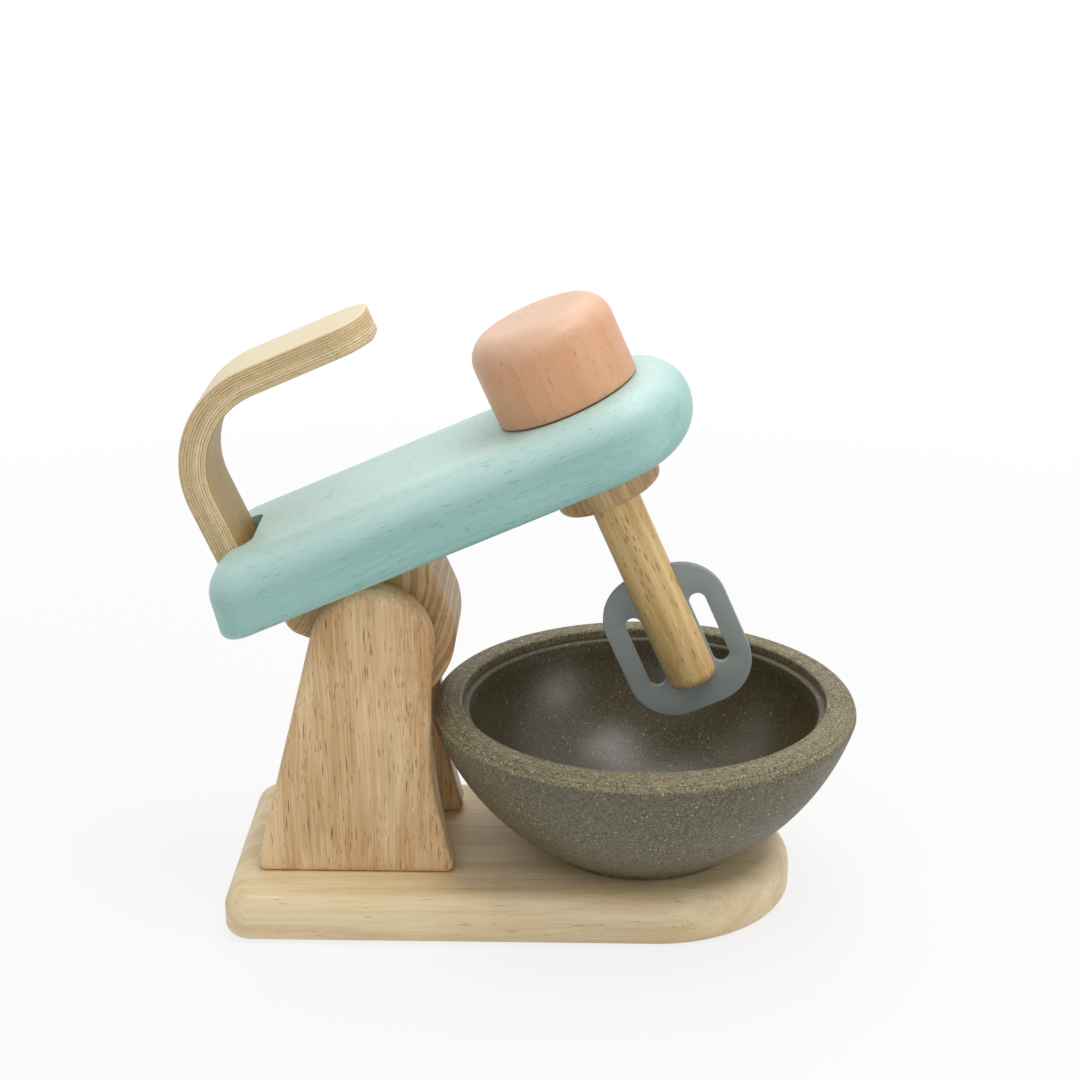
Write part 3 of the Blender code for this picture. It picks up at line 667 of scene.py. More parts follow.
@dataclass(frozen=True)
class Nylon(Finish):
    """Milky moulded nylon that lets some light in."""

    body: Colour = srgb(214, 222, 212)
    shade: Colour = srgb(188, 200, 190)

    def material(self, piece: bpy.types.Object) -> bpy.types.Material:
        """Build the nylon for one piece.

        Args:
            piece: The piece, still in its own frame.

        Returns:
            The material.
        """
        graph = self.start(piece)
        x, y, z = graph.place()
        cloud = graph.noise(graph.join(x / 0.003, y / 0.003, z / 0.003), 2.0)
        fixed = {
            "Subsurface Weight": 0.45,
            "Subsurface Radius": (0.004, 0.004, 0.004),
            "Subsurface Scale": 1.0,
            "Transmission Weight": 0.25,
        }
        base = graph.mix(cloud, self.body, self.shade)
        return graph.finish(base, (cloud - 0.5) * 0.1 + 0.3, graph.bump(cloud, 0.00003), fixed)


def arc(centre: Flat, radius: float, start_deg: float, end_deg: float, sag: float = 0.000006) -> Outline:
    """Points along an arc, both ends included, fine enough to look round.

    Args:
        centre: The arc's centre.
        radius: Its radius.
        start_deg: Where it starts, in degrees.
        end_deg: Where it ends.
        sag: How far a side may fall short of the round.

    Returns:
        The points.
    """
    step = min(9.0, 2 * math.degrees(math.acos(1 - min(1.0, sag / radius))))
    count = max(4, math.ceil(abs(end_deg - start_deg) / step))
    points = []
    for index in range(count + 1):
        angle = math.radians(start_deg + (end_deg - start_deg) * index / count)
        points.append((centre[0] + radius * math.cos(angle), centre[1] + radius * math.sin(angle)))
    return points


def bulged(start: Flat, end: Flat, bulge: float) -> Outline:
    """Points from start to end along the arc that bulges to the right of that way.

    Args:
        start: The first point.
        end: The last point.
        bulge: How far the arc stands off the straight line.

    Returns:
        The points.
    """
    run = (end[0] - start[0], end[1] - start[1])
    chord = math.hypot(*run)
    radius = (chord**2 / 4 + bulge**2) / (2 * bulge)
    side = (run[1] / chord, -run[0] / chord)
    back = radius - bulge
    centre = (start[0] + run[0] / 2 - side[0] * back, start[1] + run[1] / 2 - side[1] * back)
    first = math.degrees(math.atan2(start[1] - centre[1], start[0] - centre[0]))
    sweep = math.degrees(2 * math.asin(chord / 2 / radius))
    return arc(centre, radius, first, first + sweep)


def filleted(corners: Sequence[tuple[float, float, float]]) -> Outline:
    """Replace each corner of an outline, given as x, y and radius, by an arc.

    Args:
        corners: The corners in order; a radius of zero keeps one sharp.

    Returns:
        The outline's points.
    """
    points: Outline = []
    for index, (x, y, radius) in enumerate(corners):
        before = corners[index - 1]
        after = corners[(index + 1) % len(corners)]
        if radius == 0:
            points.append((x, y))
            continue
        into = math.atan2(y - before[1], x - before[0])
        out = math.atan2(after[1] - y, after[0] - x)
        turn = (out - into + math.pi) % (2 * math.pi) - math.pi
        side = math.copysign(1, turn)
        reach = radius * math.tan(abs(turn) / 2)
        start = (x - reach * math.cos(into), y - reach * math.sin(into))
        centre = (start[0] - side * radius * math.sin(into), start[1] + side * radius * math.cos(into))
        first = math.degrees(into) - side * 90
        points.extend(arc(centre, radius, first, first + math.degrees(turn)))
    return points


def rounded_in(radius: float, distance: float) -> float:
    """How far a corner of a radius pulls in at a distance from the end that it meets.

    Args:
        radius: The corner's radius.
        distance: Distance from the end.

    Returns:
        The step in, which is zero past the corner.
    """
    short = max(0.0, radius - distance)
    return radius - math.sqrt(radius**2 - short**2) if short else 0.0


def loop_area(outline: Outline) -> float:
    """Signed area of an outline, positive when it runs anticlockwise."""
    pairs = zip(outline, outline[1:] + outline[:1])
    return sum(a[0] * b[1] - b[0] * a[1] for a, b in pairs) / 2


def cleaned(outline: Outline) -> Outline:
    """An outline that runs anticlockwise, with no point given twice.

    Args:
        outline: The outline.

    Returns:
        The cleaned outline.
    """
    kept: Outline = []
    for point in outline:
        if not kept or math.dist(point, kept[-1]) > 1e-6:
            kept.append(point)
    if math.dist(kept[0], kept[-1]) < 1e-6:
        kept.pop()
    return kept if loop_area(kept) > 0 else kept[::-1]


def inset(outline: Outline, distances: Sequence[float]) -> Outline:
    """Move each point of an anticlockwise outline inwards, square to its edges.

    Args:
        outline: The outline.
        distances: How far each point moves.

    Returns:
        The moved points.
    """
    moved: Outline = []
    count = len(outline)
    for index, ((x, y), distance) in enumerate(zip(outline, distances)):
        before, after = outline[index - 1], outline[(index + 1) % count]
        first = Vector((x - before[0], y - before[1])).normalized()
        second = Vector((after[0] - x, after[1] - y)).normalized()
        inward = Vector((-first.y - second.y, first.x + second.x)) / 2
        step = inward * (distance / inward.length_squared)
        moved.append((x + step.x, y + step.y))
    return moved


def runs(outline: Outline) -> list[Vector]:
    """The direction in which an outline passes each of its points.

    Args:
        outline: The outline.

    Returns:
        One direction of unit length for each point.
    """
    found = []
    for before, after in zip([outline[-1]] + outline[:-1], outline[1:] + outline[:1]):
        found.append(Vector((after[0] - before[0], after[1] - before[1])).normalized())
    return found


Swell = Callable[[Flat, Vector], tuple[float, float]]


@dataclass(frozen=True)
class Edge:
    """How a board's face rounds over into its side: how far in, how far down, and how full."""

    reach: float
    drop: float
    steps: int = 10
    fullness: float = 2.0

    def layers(self) -> list[tuple[float, float]]:
        """Depth below the face and distance in, from the face down to the side.

        Returns:
            The pairs of depth and distance.
        """
        found = [(0.0, self.reach * 1.06 + 0.0002)]
        for index in range(self.steps + 1):
            angle = math.pi / 2 * index / self.steps
            power = 2 / self.fullness
            depth = self.drop * (1 - math.cos(angle) ** power)
            found.append((depth, self.reach * (1 - math.sin(angle) ** power)))
        return found


SHARP = Edge(0.00002, 0.00002, 1)


class Bench:
    """Makes meshes and objects, and fits them to the frame."""

    @staticmethod
    def solid(name: str, shape: bmesh.types.BMesh, place: Matrix) -> bpy.types.Object:
        """Turn a built shape into an object at a place.

        Args:
            name: The piece's name.
            shape: The built shape, which is used up.
            place: Where the piece's own frame lies.

        Returns:
            The object.
        """
        bmesh.ops.recalc_face_normals(shape, faces=shape.faces)
        mesh = bpy.data.meshes.new(name)
        shape.to_mesh(mesh)
        shape.free()
        Bench.smooth(mesh)
        item = bpy.data.objects.new(name, mesh)
        bpy.context.scene.collection.objects.link(item)
        item.matrix_world = place
        return item

    @staticmethod
    def smooth(mesh: bpy.types.Mesh, angle: float = 32.0) -> None:
        """Shade a mesh smooth up to an angle."""
        mesh.shade_smooth()
        mesh.set_sharp_from_angle(angle=math.radians(angle))

    @staticmethod
    def lathe(
        name: str, profile: Outline, place: Matrix, closed: bool = False, steps: int = 144
    ) -> bpy.types.Object:
        """Turn a half section about the Z axis.

        Args:
            name: The piece's name.
            profile: Radius and height of each point, in order.
            place: Where the piece's own frame lies.
            closed: Whether the last point joins the first.
            steps: Sides of the round.

        Returns:
            The object.
        """
        shape = bmesh.new()
        rings = []
        for radius, height in profile:
            if radius < 1e-7:
                rings.append([shape.verts.new((0, 0, height))] * steps)
                continue
            ring = []
            for index in range(steps):
                angle = 2 * math.pi * index / steps
                ring.append(shape.verts.new((radius * math.cos(angle), radius * math.sin(angle), height)))
            rings.append(ring)
        pairs = list(zip(rings, rings[1:])) + ([(rings[-1], rings[0])] if closed else [])
        for upper, lower in pairs:
            for index in range(steps):
                after = (index + 1) % steps
                corners = dict.fromkeys((upper[index], upper[after], lower[after], lower[index]))
                if len(corners) > 2:
                    shape.faces.new(list(corners))
        return Bench.solid(name, shape, place)

    @staticmethod
    def board(
        name: str,
        outline: Outline,
        thick: float,
        edges: tuple[Edge, Edge],
        place: Matrix,
        swell: Swell | None = None,
    ) -> bpy.types.Object:
        """Make a board with rounded edges from its outline, its underside at Z = 0.

        Args:
            name: The piece's name.
            outline: The outline at the board's sides.
            thick: The board's thickness.
            edges: How the upper and the lower face round over.
            place: Where the piece's own frame lies.
            swell: How much larger both roundings are at a point of the outline.

        Returns:
            The object.
        """
        outline = cleaned(outline)
        scales = [(1.0, 1.0)] * len(outline)
        if swell:
            scales = [swell(point, run) for point, run in zip(outline, runs(outline))]
        levels = [(layer, 1, 0.0) for layer in edges[1].layers()]
        levels += [(layer, 0, thick) for layer in reversed(edges[0].layers())]
        shape = bmesh.new()
        rings = []
        for (depth, reach), side, face in levels:
            loop = inset(outline, [reach * scale[side] for scale in scales])
            drops = [depth * scale[side] for scale in scales]
            rings.append([shape.verts.new((x, y, abs(face - drop))) for (x, y), drop in zip(loop, drops)])
        for lower, upper in zip(rings, rings[1:]):
            for index in range(len(outline)):
                after = (index + 1) % len(outline)
                shape.faces.new((lower[index], lower[after], upper[after], upper[index]))
        shape.faces.new(rings[0][::-1])
        shape.faces.new(rings[-1])
        return Bench.solid(name, shape, place)

    @staticmethod
    def block(name: str, size: tuple[float, float, float], place: Matrix) -> bpy.types.Object:
        """A plain block for cutting with, centred on its frame.

        Args:
            name: The cutter's name.
            size: Its three sides.
            place: Its frame.

        Returns:
            The object.
        """
        shape = bmesh.new()
        bmesh.ops.create_cube(shape, size=1, matrix=Matrix.Diagonal((*size, 1)))
        return Bench.solid(name, shape, place)

    @staticmethod
    def drill(name: str, radius: float, depth: float, place: Matrix) -> bpy.types.Object:
        """A round cutter that runs down the Z axis from a little above its frame.

        Args:
            name: The cutter's name.
            radius: The hole's radius.
            depth: The hole's depth.
            place: A frame at the hole's mouth, with Z out of the wood.

        Returns:
            The object.
        """
        profile = [(0, OVERCUT), (radius, OVERCUT), (radius, -depth), (0, -depth)]
        return Bench.lathe(name, profile, place, steps=72)

    @staticmethod
    def carve(item: bpy.types.Object, *tools: bpy.types.Object) -> None:
        """Cut tools out of a piece for good, and take the tools away.

        Args:
            item: The piece.
            tools: The cutters.
        """
        for tool in tools:
            modifier = item.modifiers.new(tool.name, "BOOLEAN")
            modifier.operation = "DIFFERENCE"
            modifier.solver = "EXACT"
            modifier.object = tool
        Bench.settle(item)
        for tool in tools:
            bpy.data.objects.remove(tool, do_unlink=True)

    @staticmethod
    def settle(item: bpy.types.Object) -> None:
        """Make a piece's modifiers part of its mesh.

        Args:
            item: The piece.
        """
        bpy.context.view_layer.update()
        graph = bpy.context.evaluated_depsgraph_get()
        mesh = bpy.data.meshes.new_from_object(item.evaluated_get(graph))
        item.modifiers.clear()
        item.data = mesh
        Bench.smooth(mesh)

    @staticmethod
    def fit(item: bpy.types.Object, body: str, slot: str, finish: Finish, *nodes: str) -> None:
        """Dress a piece, seat it on its body and say which solids it stands for.

        The mesh takes up the piece's place, so that the piece's box is as tight as its mesh.

        Args:
            item: The piece.
            body: The body that it rides on.
            slot: The record's material slot; not used.
            finish: The finish.
            nodes: The solids that it replaces.
        """
        item.data.materials.clear()
        item.data.materials.append(finish.material(item))
        item.data.transform(item.matrix_world)
        item.matrix_world = Matrix()
        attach(item, body)
        if nodes:
            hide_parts(*nodes)
        LOG.info("%s rides on %s for %s", item.name, body, ", ".join(nodes) or "no solid")


@dataclass(frozen=True)
class Frames:
    """Where the sub-assemblies' own frames lie at rest."""

    pivot: Vector
    spindle_x: float

    @property
    def tilt(self) -> Matrix:
        """The frame of what tilts, at the pivot."""
        return Matrix.Translation(self.pivot) @ Matrix.Rotation(-TILT, 4, "Y")

    @property
    def spindle(self) -> Matrix:
        """The frame of what turns with the knob, level with the pivot."""
        return self.tilt @ Matrix.Translation((self.spindle_x, 0, 0))


def frames() -> Frames:
    """The frames, with the pivot and the spindle's distance from it given as numbers."""
    return Frames(Vector((-0.0478, 0, 0.1058)), 0.095499)


@dataclass
class Stand:
    """What stays still: base board, uprights and the stop between them."""

    length: float = 0.204
    width: float = 0.100
    thick: float = 0.019
    corner: float = 0.010
    pivot_x: float = -0.0478
    pivot_z: float = 0.1058
    upright_thick: float = 0.012
    top_radius: float = 0.0217
    heel: float = 0.0443
    flank_radius: float = 0.200
    foot_corner: float = 0.0028
    foot_edge: float = 0.60
    head_edge: float = 1.25
    board_edges: tuple[Edge, Edge] = (Edge(0.0085, 0.008, 14), Edge(0.005, 0.005))
    upright_edge: Edge = Edge(0.0034, 0.0023, 10, 1.9)
    inner_y: float = 0.0189
    bowl_height: float = 0.0572
    stop: Flat = (-0.012, -0.0146)
    pin_radius: float = 0.004
    pin_length: float = 0.0538
    pin_cut: float = 0.0006
    hidden: tuple[str, ...] = (
        "foot_dowel_1",
        "foot_dowel_2",
        "foot_dowel_3",
        "foot_dowel_4",
        "pivot_pin",
    )

    def base_outline(self) -> Outline:
        """Square-ended at the rear, one half circle at the bowl's end.

        Returns:
            The outline's points.
        """
        half, rear = self.width / 2, -self.length / 2
        points = arc((self.length / 2 - half, 0), half, -90, 90)
        points += arc((rear + self.corner, half - self.corner), self.corner, 90, 180)
        points += arc((rear + self.corner, self.corner - half), self.corner, 180, 270)
        return points

    def upright_outline(self) -> Outline:
        """Straight sloping back, round head and a hollow front, about the pivot.

        Returns:
            The outline's points.
        """
        foot = self.thick + GAP - self.pivot_z
        neck = -foot - self.bowl_height
        centre_x = math.sqrt((self.flank_radius + self.top_radius) ** 2 - neck**2)
        centre = (centre_x, -neck)
        toe_x = centre_x - math.sqrt(self.flank_radius**2 - (foot + neck) ** 2)
        distance = math.hypot(self.heel, foot)
        slope = math.atan2(-foot, self.heel) + math.asin(self.top_radius / distance)
        meet = -math.degrees(math.atan2(neck, centre_x))
        toe_deg = math.degrees(math.asin((foot + neck) / self.flank_radius))
        flank = arc(centre, self.flank_radius, 180 + meet, 180 - toe_deg)
        top = arc((0, 0), self.top_radius, math.degrees(slope) + 90, meet)
        corners = [
            (*flank[-3], 0),
            (toe_x, foot, self.foot_corner),
            (-self.heel, foot, self.foot_corner),
            (*top[0], 0),
        ]
        return top + flank[1:-3] + filleted(corners)[:-1]

    def base_board(self) -> bpy.types.Object:
        """The base board."""
        return Bench.board("base", self.base_outline(), self.thick, self.board_edges, Matrix())

    def _upright_swell(self, point: Flat, run: Vector) -> tuple[float, float]:
        """The edge is rounder round the head than at the foot.

        Args:
            point: A point of the outline.
            run: The outline's direction there; not used.

        Returns:
            How much larger the two roundings are.
        """
        foot = self.thick + GAP - self.pivot_z
        share = (point[1] - foot) / (self.top_radius - foot)
        scale = self.foot_edge + (self.head_edge - self.foot_edge) * share
        return scale, scale

    def upright(self, name: str, side: int) -> bpy.types.Object:
        """One upright, with its hand-sanded edges.

        Args:
            name: The piece's name.
            side: Minus one for the near one, one for the far one.

        Returns:
            The object.
        """
        edges = (self.upright_edge, self.upright_edge)
        middle = side * (self.inner_y + self.upright_thick / 2)
        place = Matrix.Translation((self.pivot_x, middle, self.pivot_z)) @ STANDING
        place = place @ Matrix.Translation((0, 0, -self.upright_thick / 2))
        outline = self.upright_outline()
        return Bench.board(name, outline, self.upright_thick, edges, place, self._upright_swell)

    def stop_dowel(self) -> bpy.types.Object:
        """The dowel that stops the block.

        Returns:
            The object.
        """
        radius, length, cut = self.pin_radius, self.pin_length, self.pin_cut
        profile = [(0, length), (radius - cut, length), (radius, length - cut)]
        profile += [(radius, cut), (radius - cut, 0), (0, 0)]
        end = (self.pivot_x + self.stop[0], -length / 2, self.pivot_z + self.stop[1])
        return Bench.lathe("stop", profile, Matrix.Translation(end) @ LYING, steps=64)

    def build(self, solids: Mapping[str, bpy.types.Object], nylon: Nylon) -> None:
        """Make and dress the stand.

        Args:
            solids: The frame's solids by node.
            nylon: The washers' finish.
        """
        board = Timber(
            "clear_rubberwood",
            pale=srgb(243, 226, 188),
            deep=srgb(220, 190, 142),
            pore=srgb(172, 124, 78),
            grain=Grain.ALONG_X,
            heart=(0.030, -0.070),
            fibres=0.7,
            threads=0.35,
            pore_share=0.22,
            shift=0.31,
        )
        near = Timber(
            "clear_rubberwood",
            pale=srgb(242, 215, 169),
            deep=srgb(195, 149, 97),
            pore=srgb(128, 72, 36),
            grain=Grain.ALONG_Y,
            heart=(0.010, -0.120),
            pore_share=0.8,
            pore_width=0.00034,
            pore_mark=0.95,
        )
        far = replace(near, heart=(-0.020, 0.110), shift=0.77)
        pin = replace(near, grain=Grain.ALONG_Z, heart=(0.002, 0.006))
        Bench.fit(self.base_board(), "stand", "rubberwood", board, "base_board")
        Bench.fit(self.upright("near_upright", -1), "stand", "rubberwood", near, "front_upright")
        Bench.fit(self.upright("far_upright", 1), "stand", "rubberwood", far, "rear_upright")
        Bench.fit(self.stop_dowel(), "stand", "rubberwood", pin, "stop_dowel")
        for node in self.hidden:
            dress_solid(solids[node], pin)
        for node in ("front_washer", "rear_washer"):
            dress_solid(solids[node], nylon)


def dress_solid(solid: bpy.types.Object, finish: Finish) -> None:
    """Give a solid that stays its finish.

    Args:
        solid: The solid.
        finish: Its finish.
    """
    solid.data.materials.clear()
    solid.data.materials.append(finish.material(solid))
    LOG.info("%s stays and is dressed", solid.name)


@dataclass
class Peg:
    """A ball-ended nylon peg that stands in a hole."""

    ball: float = 0.0035
    stem: float = 0.0025
    stand: float = 0.003
    length: float = 0.010
    cut: float = 0.0006

    def build(self, name: str, place: Matrix) -> bpy.types.Object:
        """Make one peg.

        Args:
            name: The piece's name.
            place: Its frame, with Z out of the hole.

        Returns:
            The object.
        """
        meet = math.degrees(math.acos(self.stem / self.ball))
        profile = arc((0, self.stand), self.ball, 90, -meet)
        profile[0] = (0, self.stand + self.ball)
        profile += [(self.stem, self.cut - self.length), (self.stem - self.cut, -self.length)]
        profile.append((0, -self.length))
        return Bench.lathe(name, profile, place, steps=64)


@dataclass
class PivotBlock:
    """The block that tilts between the uprights, with its peg and empty hole."""

    frames: Frames
    depth: float = 0.035
    radius: float = 0.0285
    rear: float = 0.0276
    top: float = 0.0222
    top_corner: float = 0.003
    rear_corner: float = 0.009
    slope_drop: float = 0.0103
    toe_x: float = -0.0077
    spacing: float = 0.024
    pin_bore: float = 0.0043
    edge: Edge = Edge(0.0018, 0.0016, 8)

    def outline(self) -> Outline:
        """Flat top, round underside and the notch for the stop.

        Returns:
            The outline's points.
        """
        slope = math.radians(45)
        toe_deg = -math.degrees(math.acos(self.toe_x / self.radius))
        toe_z = -self.slope_drop / math.cos(slope) - self.toe_x * math.tan(slope)
        rear_z = -self.slope_drop / math.cos(slope) + self.rear * math.tan(slope)
        corners = filleted(
            [
                (self.toe_x, toe_z, 0),
                (-self.rear, rear_z, self.rear_corner),
                (-self.rear, self.top, self.top_corner),
                (self.radius, self.top, self.top_corner),
                (self.radius, 0, 0),
            ]
        )
        return corners[:-1] + arc((0, 0), self.radius, 0, toe_deg)

    def build(self, nylon: Nylon) -> None:
        """Make and dress the block and its peg.

        Args:
            nylon: The peg's finish.
        """
        edges = (self.edge, self.edge)
        place = self.frames.tilt @ STANDING @ Matrix.Translation((0, 0, -self.depth / 2))
        item = Bench.board("tilting_block", self.outline(), self.depth, edges, place)
        tilt, half = self.frames.tilt, self.spacing / 2
        aft = tilt @ Matrix.Translation((-half, 0, self.top))
        fore = tilt @ Matrix.Translation((half, 0, self.top))
        across = tilt @ STANDING @ Matrix.Translation((0, 0, self.depth))
        Bench.carve(
            item,
            Bench.drill("socket_cutter", *SOCKET, aft),
            Bench.drill("stem_cutter", *STEM, fore),
            Bench.drill("pin_cutter", self.pin_bore, 2 * self.depth, across),
        )
        wood = Timber(
            "clear_rubberwood",
            pale=srgb(216, 184, 136),
            deep=srgb(170, 130, 84),
            pore=srgb(120, 78, 44),
            grain=Grain.ALONG_Z,
            heart=(-0.045, 0.050),
            ring=0.0022,
            rings=0.8,
            fibres=0.3,
            threads=0.2,
            clouds=0.7,
            pore_share=0.5,
            shift=0.13,
        )
        Bench.fit(item, "tilt_block", "rubberwood", wood, "pivot_block")
        Bench.fit(Peg().build("block_ball", fore), "tilt_block", "nylon", nylon, "block_peg")


@dataclass
class Head:
    """The mint head board, the bent handle in its mortise and the peg below."""

    frames: Frames
    under: float = 0.0225
    width: float = 0.0776
    thick: float = 0.026
    rear: float = 0.0472
    slant: float = 0.0043
    corner: float = 0.0125
    nose_reach: float = 0.0396
    nose_fullness: float = 2.6
    side_rounds: Flat = (0.011, 0.004)
    nose_rounds: Flat = (0.0145, 0.011)
    bore: float = 0.0093
    bore_depth: float = 0.04
    spacing: float = 0.024
    handle_thick: float = 0.010
    handle_width: float = 0.032
    handle_rise: float = 0.05713
    handle_reach: float = 0.0842
    handle_bend: float = 0.0385
    tenon: float = 0.016
    handle_inset: float = 0.00257
    tip_corner: float = 0.013
    handle_edge: float = 0.0012
    mortise_gap: float = 0.005
    mortise_corner: float = 0.0045

    @property
    def top(self) -> float:
        """Height of the head's upper face above the pivot."""
        return self.under + self.thick

    @property
    def handle_rear(self) -> float:
        """Where the handle's outer face stands along the head."""
        return self.slant + self.handle_inset - self.rear

    def outline(self) -> Outline:
        """Parallel sides, a blunt round nose and a square rear.

        Returns:
            The outline's points.
        """
        half, rear, power = self.width / 2, -self.rear, 2 / self.nose_fullness
        points = []
        for step in range(-60, 61):
            angle = math.pi / 2 * step / 60
            out = self.nose_reach * max(0.0, math.cos(angle)) ** power
            across = half * abs(math.sin(angle)) ** power
            points.append((self.frames.spindle_x + out, math.copysign(across, angle)))
        points += arc((rear + self.corner, half - self.corner), self.corner, 90, 180)
        points += arc((rear + self.corner, self.corner - half), self.corner, 180, 270)
        return points

    def mortise(self) -> bpy.types.Object:
        """The cutter for the handle's pocket.

        Returns:
            The object.
        """
        half = self.handle_width / 2 + GAP
        rear = self.handle_rear - GAP
        front = self.handle_rear + self.handle_thick + self.mortise_gap
        outline = filleted(
            [
                (rear, -half, 0),
                (front, -half, self.mortise_corner),
                (front, half, self.mortise_corner),
                (rear, half, 0),
            ]
        )
        height = self.tenon + GAP + OVERCUT
        place = self.frames.tilt @ Matrix.Translation((0, 0, self.top - self.tenon - GAP))
        return Bench.board("mortise_cutter", outline, height, (SHARP, SHARP), place)

    def _swell(self, point: Flat, run: Vector) -> tuple[float, float]:
        """Both roundings grow towards the tip of the nose.

        Args:
            point: A point of the outline.
            run: The outline's direction there.

        Returns:
            How much larger the two roundings are.
        """
        facing = run.y**2 if point[0] > self.frames.spindle_x else 0.0
        growth = [nose / side - 1 for nose, side in zip(self.nose_rounds, self.side_rounds)]
        return 1 + growth[0] * facing, 1 + growth[1] * facing

    def board(self) -> bpy.types.Object:
        """The head board, bored and mortised.

        Returns:
            The object.
        """
        place = self.frames.tilt @ Matrix.Translation((0, 0, self.under))
        edges = tuple(Edge(size, size, 18) for size in self.side_rounds)
        item = Bench.board("mint_head", self.outline(), self.thick, edges, place, self._swell)
        for vertex in item.data.vertices:
            if vertex.co.x < 0:
                vertex.co.x += self.slant * vertex.co.z / self.thick
        tilt, half = self.frames.tilt, self.spacing / 2
        fore = tilt @ Matrix.Translation((half, 0, self.under)) @ INVERTED
        aft = tilt @ Matrix.Translation((-half, 0, self.under)) @ INVERTED
        over = self.frames.spindle @ Matrix.Translation((0, 0, self.top))
        Bench.carve(
            item,
            Bench.drill("bore_cutter", self.bore, self.bore_depth, over),
            Bench.drill("socket_cutter", *SOCKET, fore),
            Bench.drill("stem_cutter", *STEM, aft),
            self.mortise(),
        )
        return item

    def _stations(self) -> list[tuple[Vector, Vector, float]]:
        """Middle, outward direction and distance from the tip of each ring of the handle.

        Returns:
            The three values of each ring, from the tenon to the tip.
        """
        rear, top, bend = self.handle_rear, self.top + self.handle_rise, self.handle_bend
        middle = bend - self.handle_thick / 2
        centre = Vector((rear + bend, 0, top - bend))
        tip = rear + self.handle_reach
        straight = tip - centre.x
        found = []
        for index in range(9):
            z = self.top - self.tenon + (centre.z - self.top + self.tenon) * index / 8
            found.append((Vector((centre.x - middle, 0, z)), Vector((-1, 0, 0)), 1.0))
        for index in range(1, 61):
            angle = math.pi / 2 * index / 60
            outward = Vector((-math.cos(angle), 0, math.sin(angle)))
            found.append((centre + outward * middle, outward, 1.0))
        shares = [index / 10 for index in range(1, 8)]
        left = [straight * (1 - share) for share in shares]
        left = [value for value in left if value > self.tip_corner + 0.001]
        turn = [self.tip_corner * (1 - math.sin(math.pi / 2 * step / 24)) for step in range(25)]
        edge = [self.handle_edge * (1 - math.sin(math.pi / 2 * step / 6)) for step in range(7)]
        height, upward = top - self.handle_thick / 2, Vector((0, 0, 1))
        for distance in sorted({round(value, 7) for value in left + turn + edge}, reverse=True):
            found.append((Vector((tip - distance, 0, height)), upward, distance))
        return found

    def handle(self) -> bpy.types.Object:
        """The bent strip, with round-cornered tip and eased edges.

        Returns:
            The object.
        """
        shape = bmesh.new()
        rings = []
        for middle, outward, distance in self._stations():
            turned = rounded_in(self.tip_corner, distance)
            eased = rounded_in(self.handle_edge, distance)
            half_thick = self.handle_thick / 2 - eased
            half_width = self.handle_width / 2 - turned - eased
            rounding = max(self.handle_edge - eased, 0.00005)
            ring = []
            for corner, (sx, sy) in enumerate(((1, 1), (-1, 1), (-1, -1), (1, -1))):
                for step in range(7):
                    angle = math.radians(90 * corner + 15 * step)
                    out = sx * (half_thick - rounding) + rounding * math.cos(angle)
                    across = sy * (half_width - rounding) + rounding * math.sin(angle)
                    ring.append(shape.verts.new(middle + outward * out + Vector((0, across, 0))))
            rings.append(ring)
        for first, second in zip(rings, rings[1:]):
            for index in range(len(first)):
                after = (index + 1) % len(first)
                shape.faces.new((first[index], first[after], second[after], second[index]))
        shape.faces.new(rings[0])
        shape.faces.new(rings[-1][::-1])
        shape.transform(LYING)
        return Bench.solid("bent_handle", shape, self.frames.tilt @ STANDING)

    def build(self, nylon: Nylon) -> None:
        """Make and dress the head.

        Args:
            nylon: The peg's finish.
        """
        mint = Timber(
            "mint_stained_rubberwood",
            pale=srgb(166, 206, 199),
            deep=srgb(138, 186, 180),
            pore=srgb(92, 140, 138),
            grain=Grain.ALONG_X,
            heart=(0.040, -0.110),
            rings=0.25,
            fibres=0.7,
            threads=0.3,
            clouds=0.5,
            pore_share=0.36,
            pore_length=0.0036,
            pore_width=0.00022,
            pore_mark=0.85,
            # Painted highlight: paler mint blended over the upper half of the head, standing for light on
            # its top.
            painted_top_light=srgb(210, 237, 231),
            painted_top_light_heights=(0.013, 0.025),
            roughness=0.46,
            coat=0.2,
        )
        plies = Plywood(
            "bent_plywood",
            rear=self.handle_rear,
            top=self.top + self.handle_rise,
            bend=self.handle_bend,
            thick=self.handle_thick,
        )
        aft = self.frames.tilt @ Matrix.Translation((-self.spacing / 2, 0, self.under)) @ INVERTED
        Bench.fit(self.board(), "head", "mint_stained_wood", mint, "head_board")
        Bench.fit(self.handle(), "head", "bent_plywood", plies, "handle")
        Bench.fit(Peg().build("head_ball", aft), "head", "nylon", nylon, "head_peg")


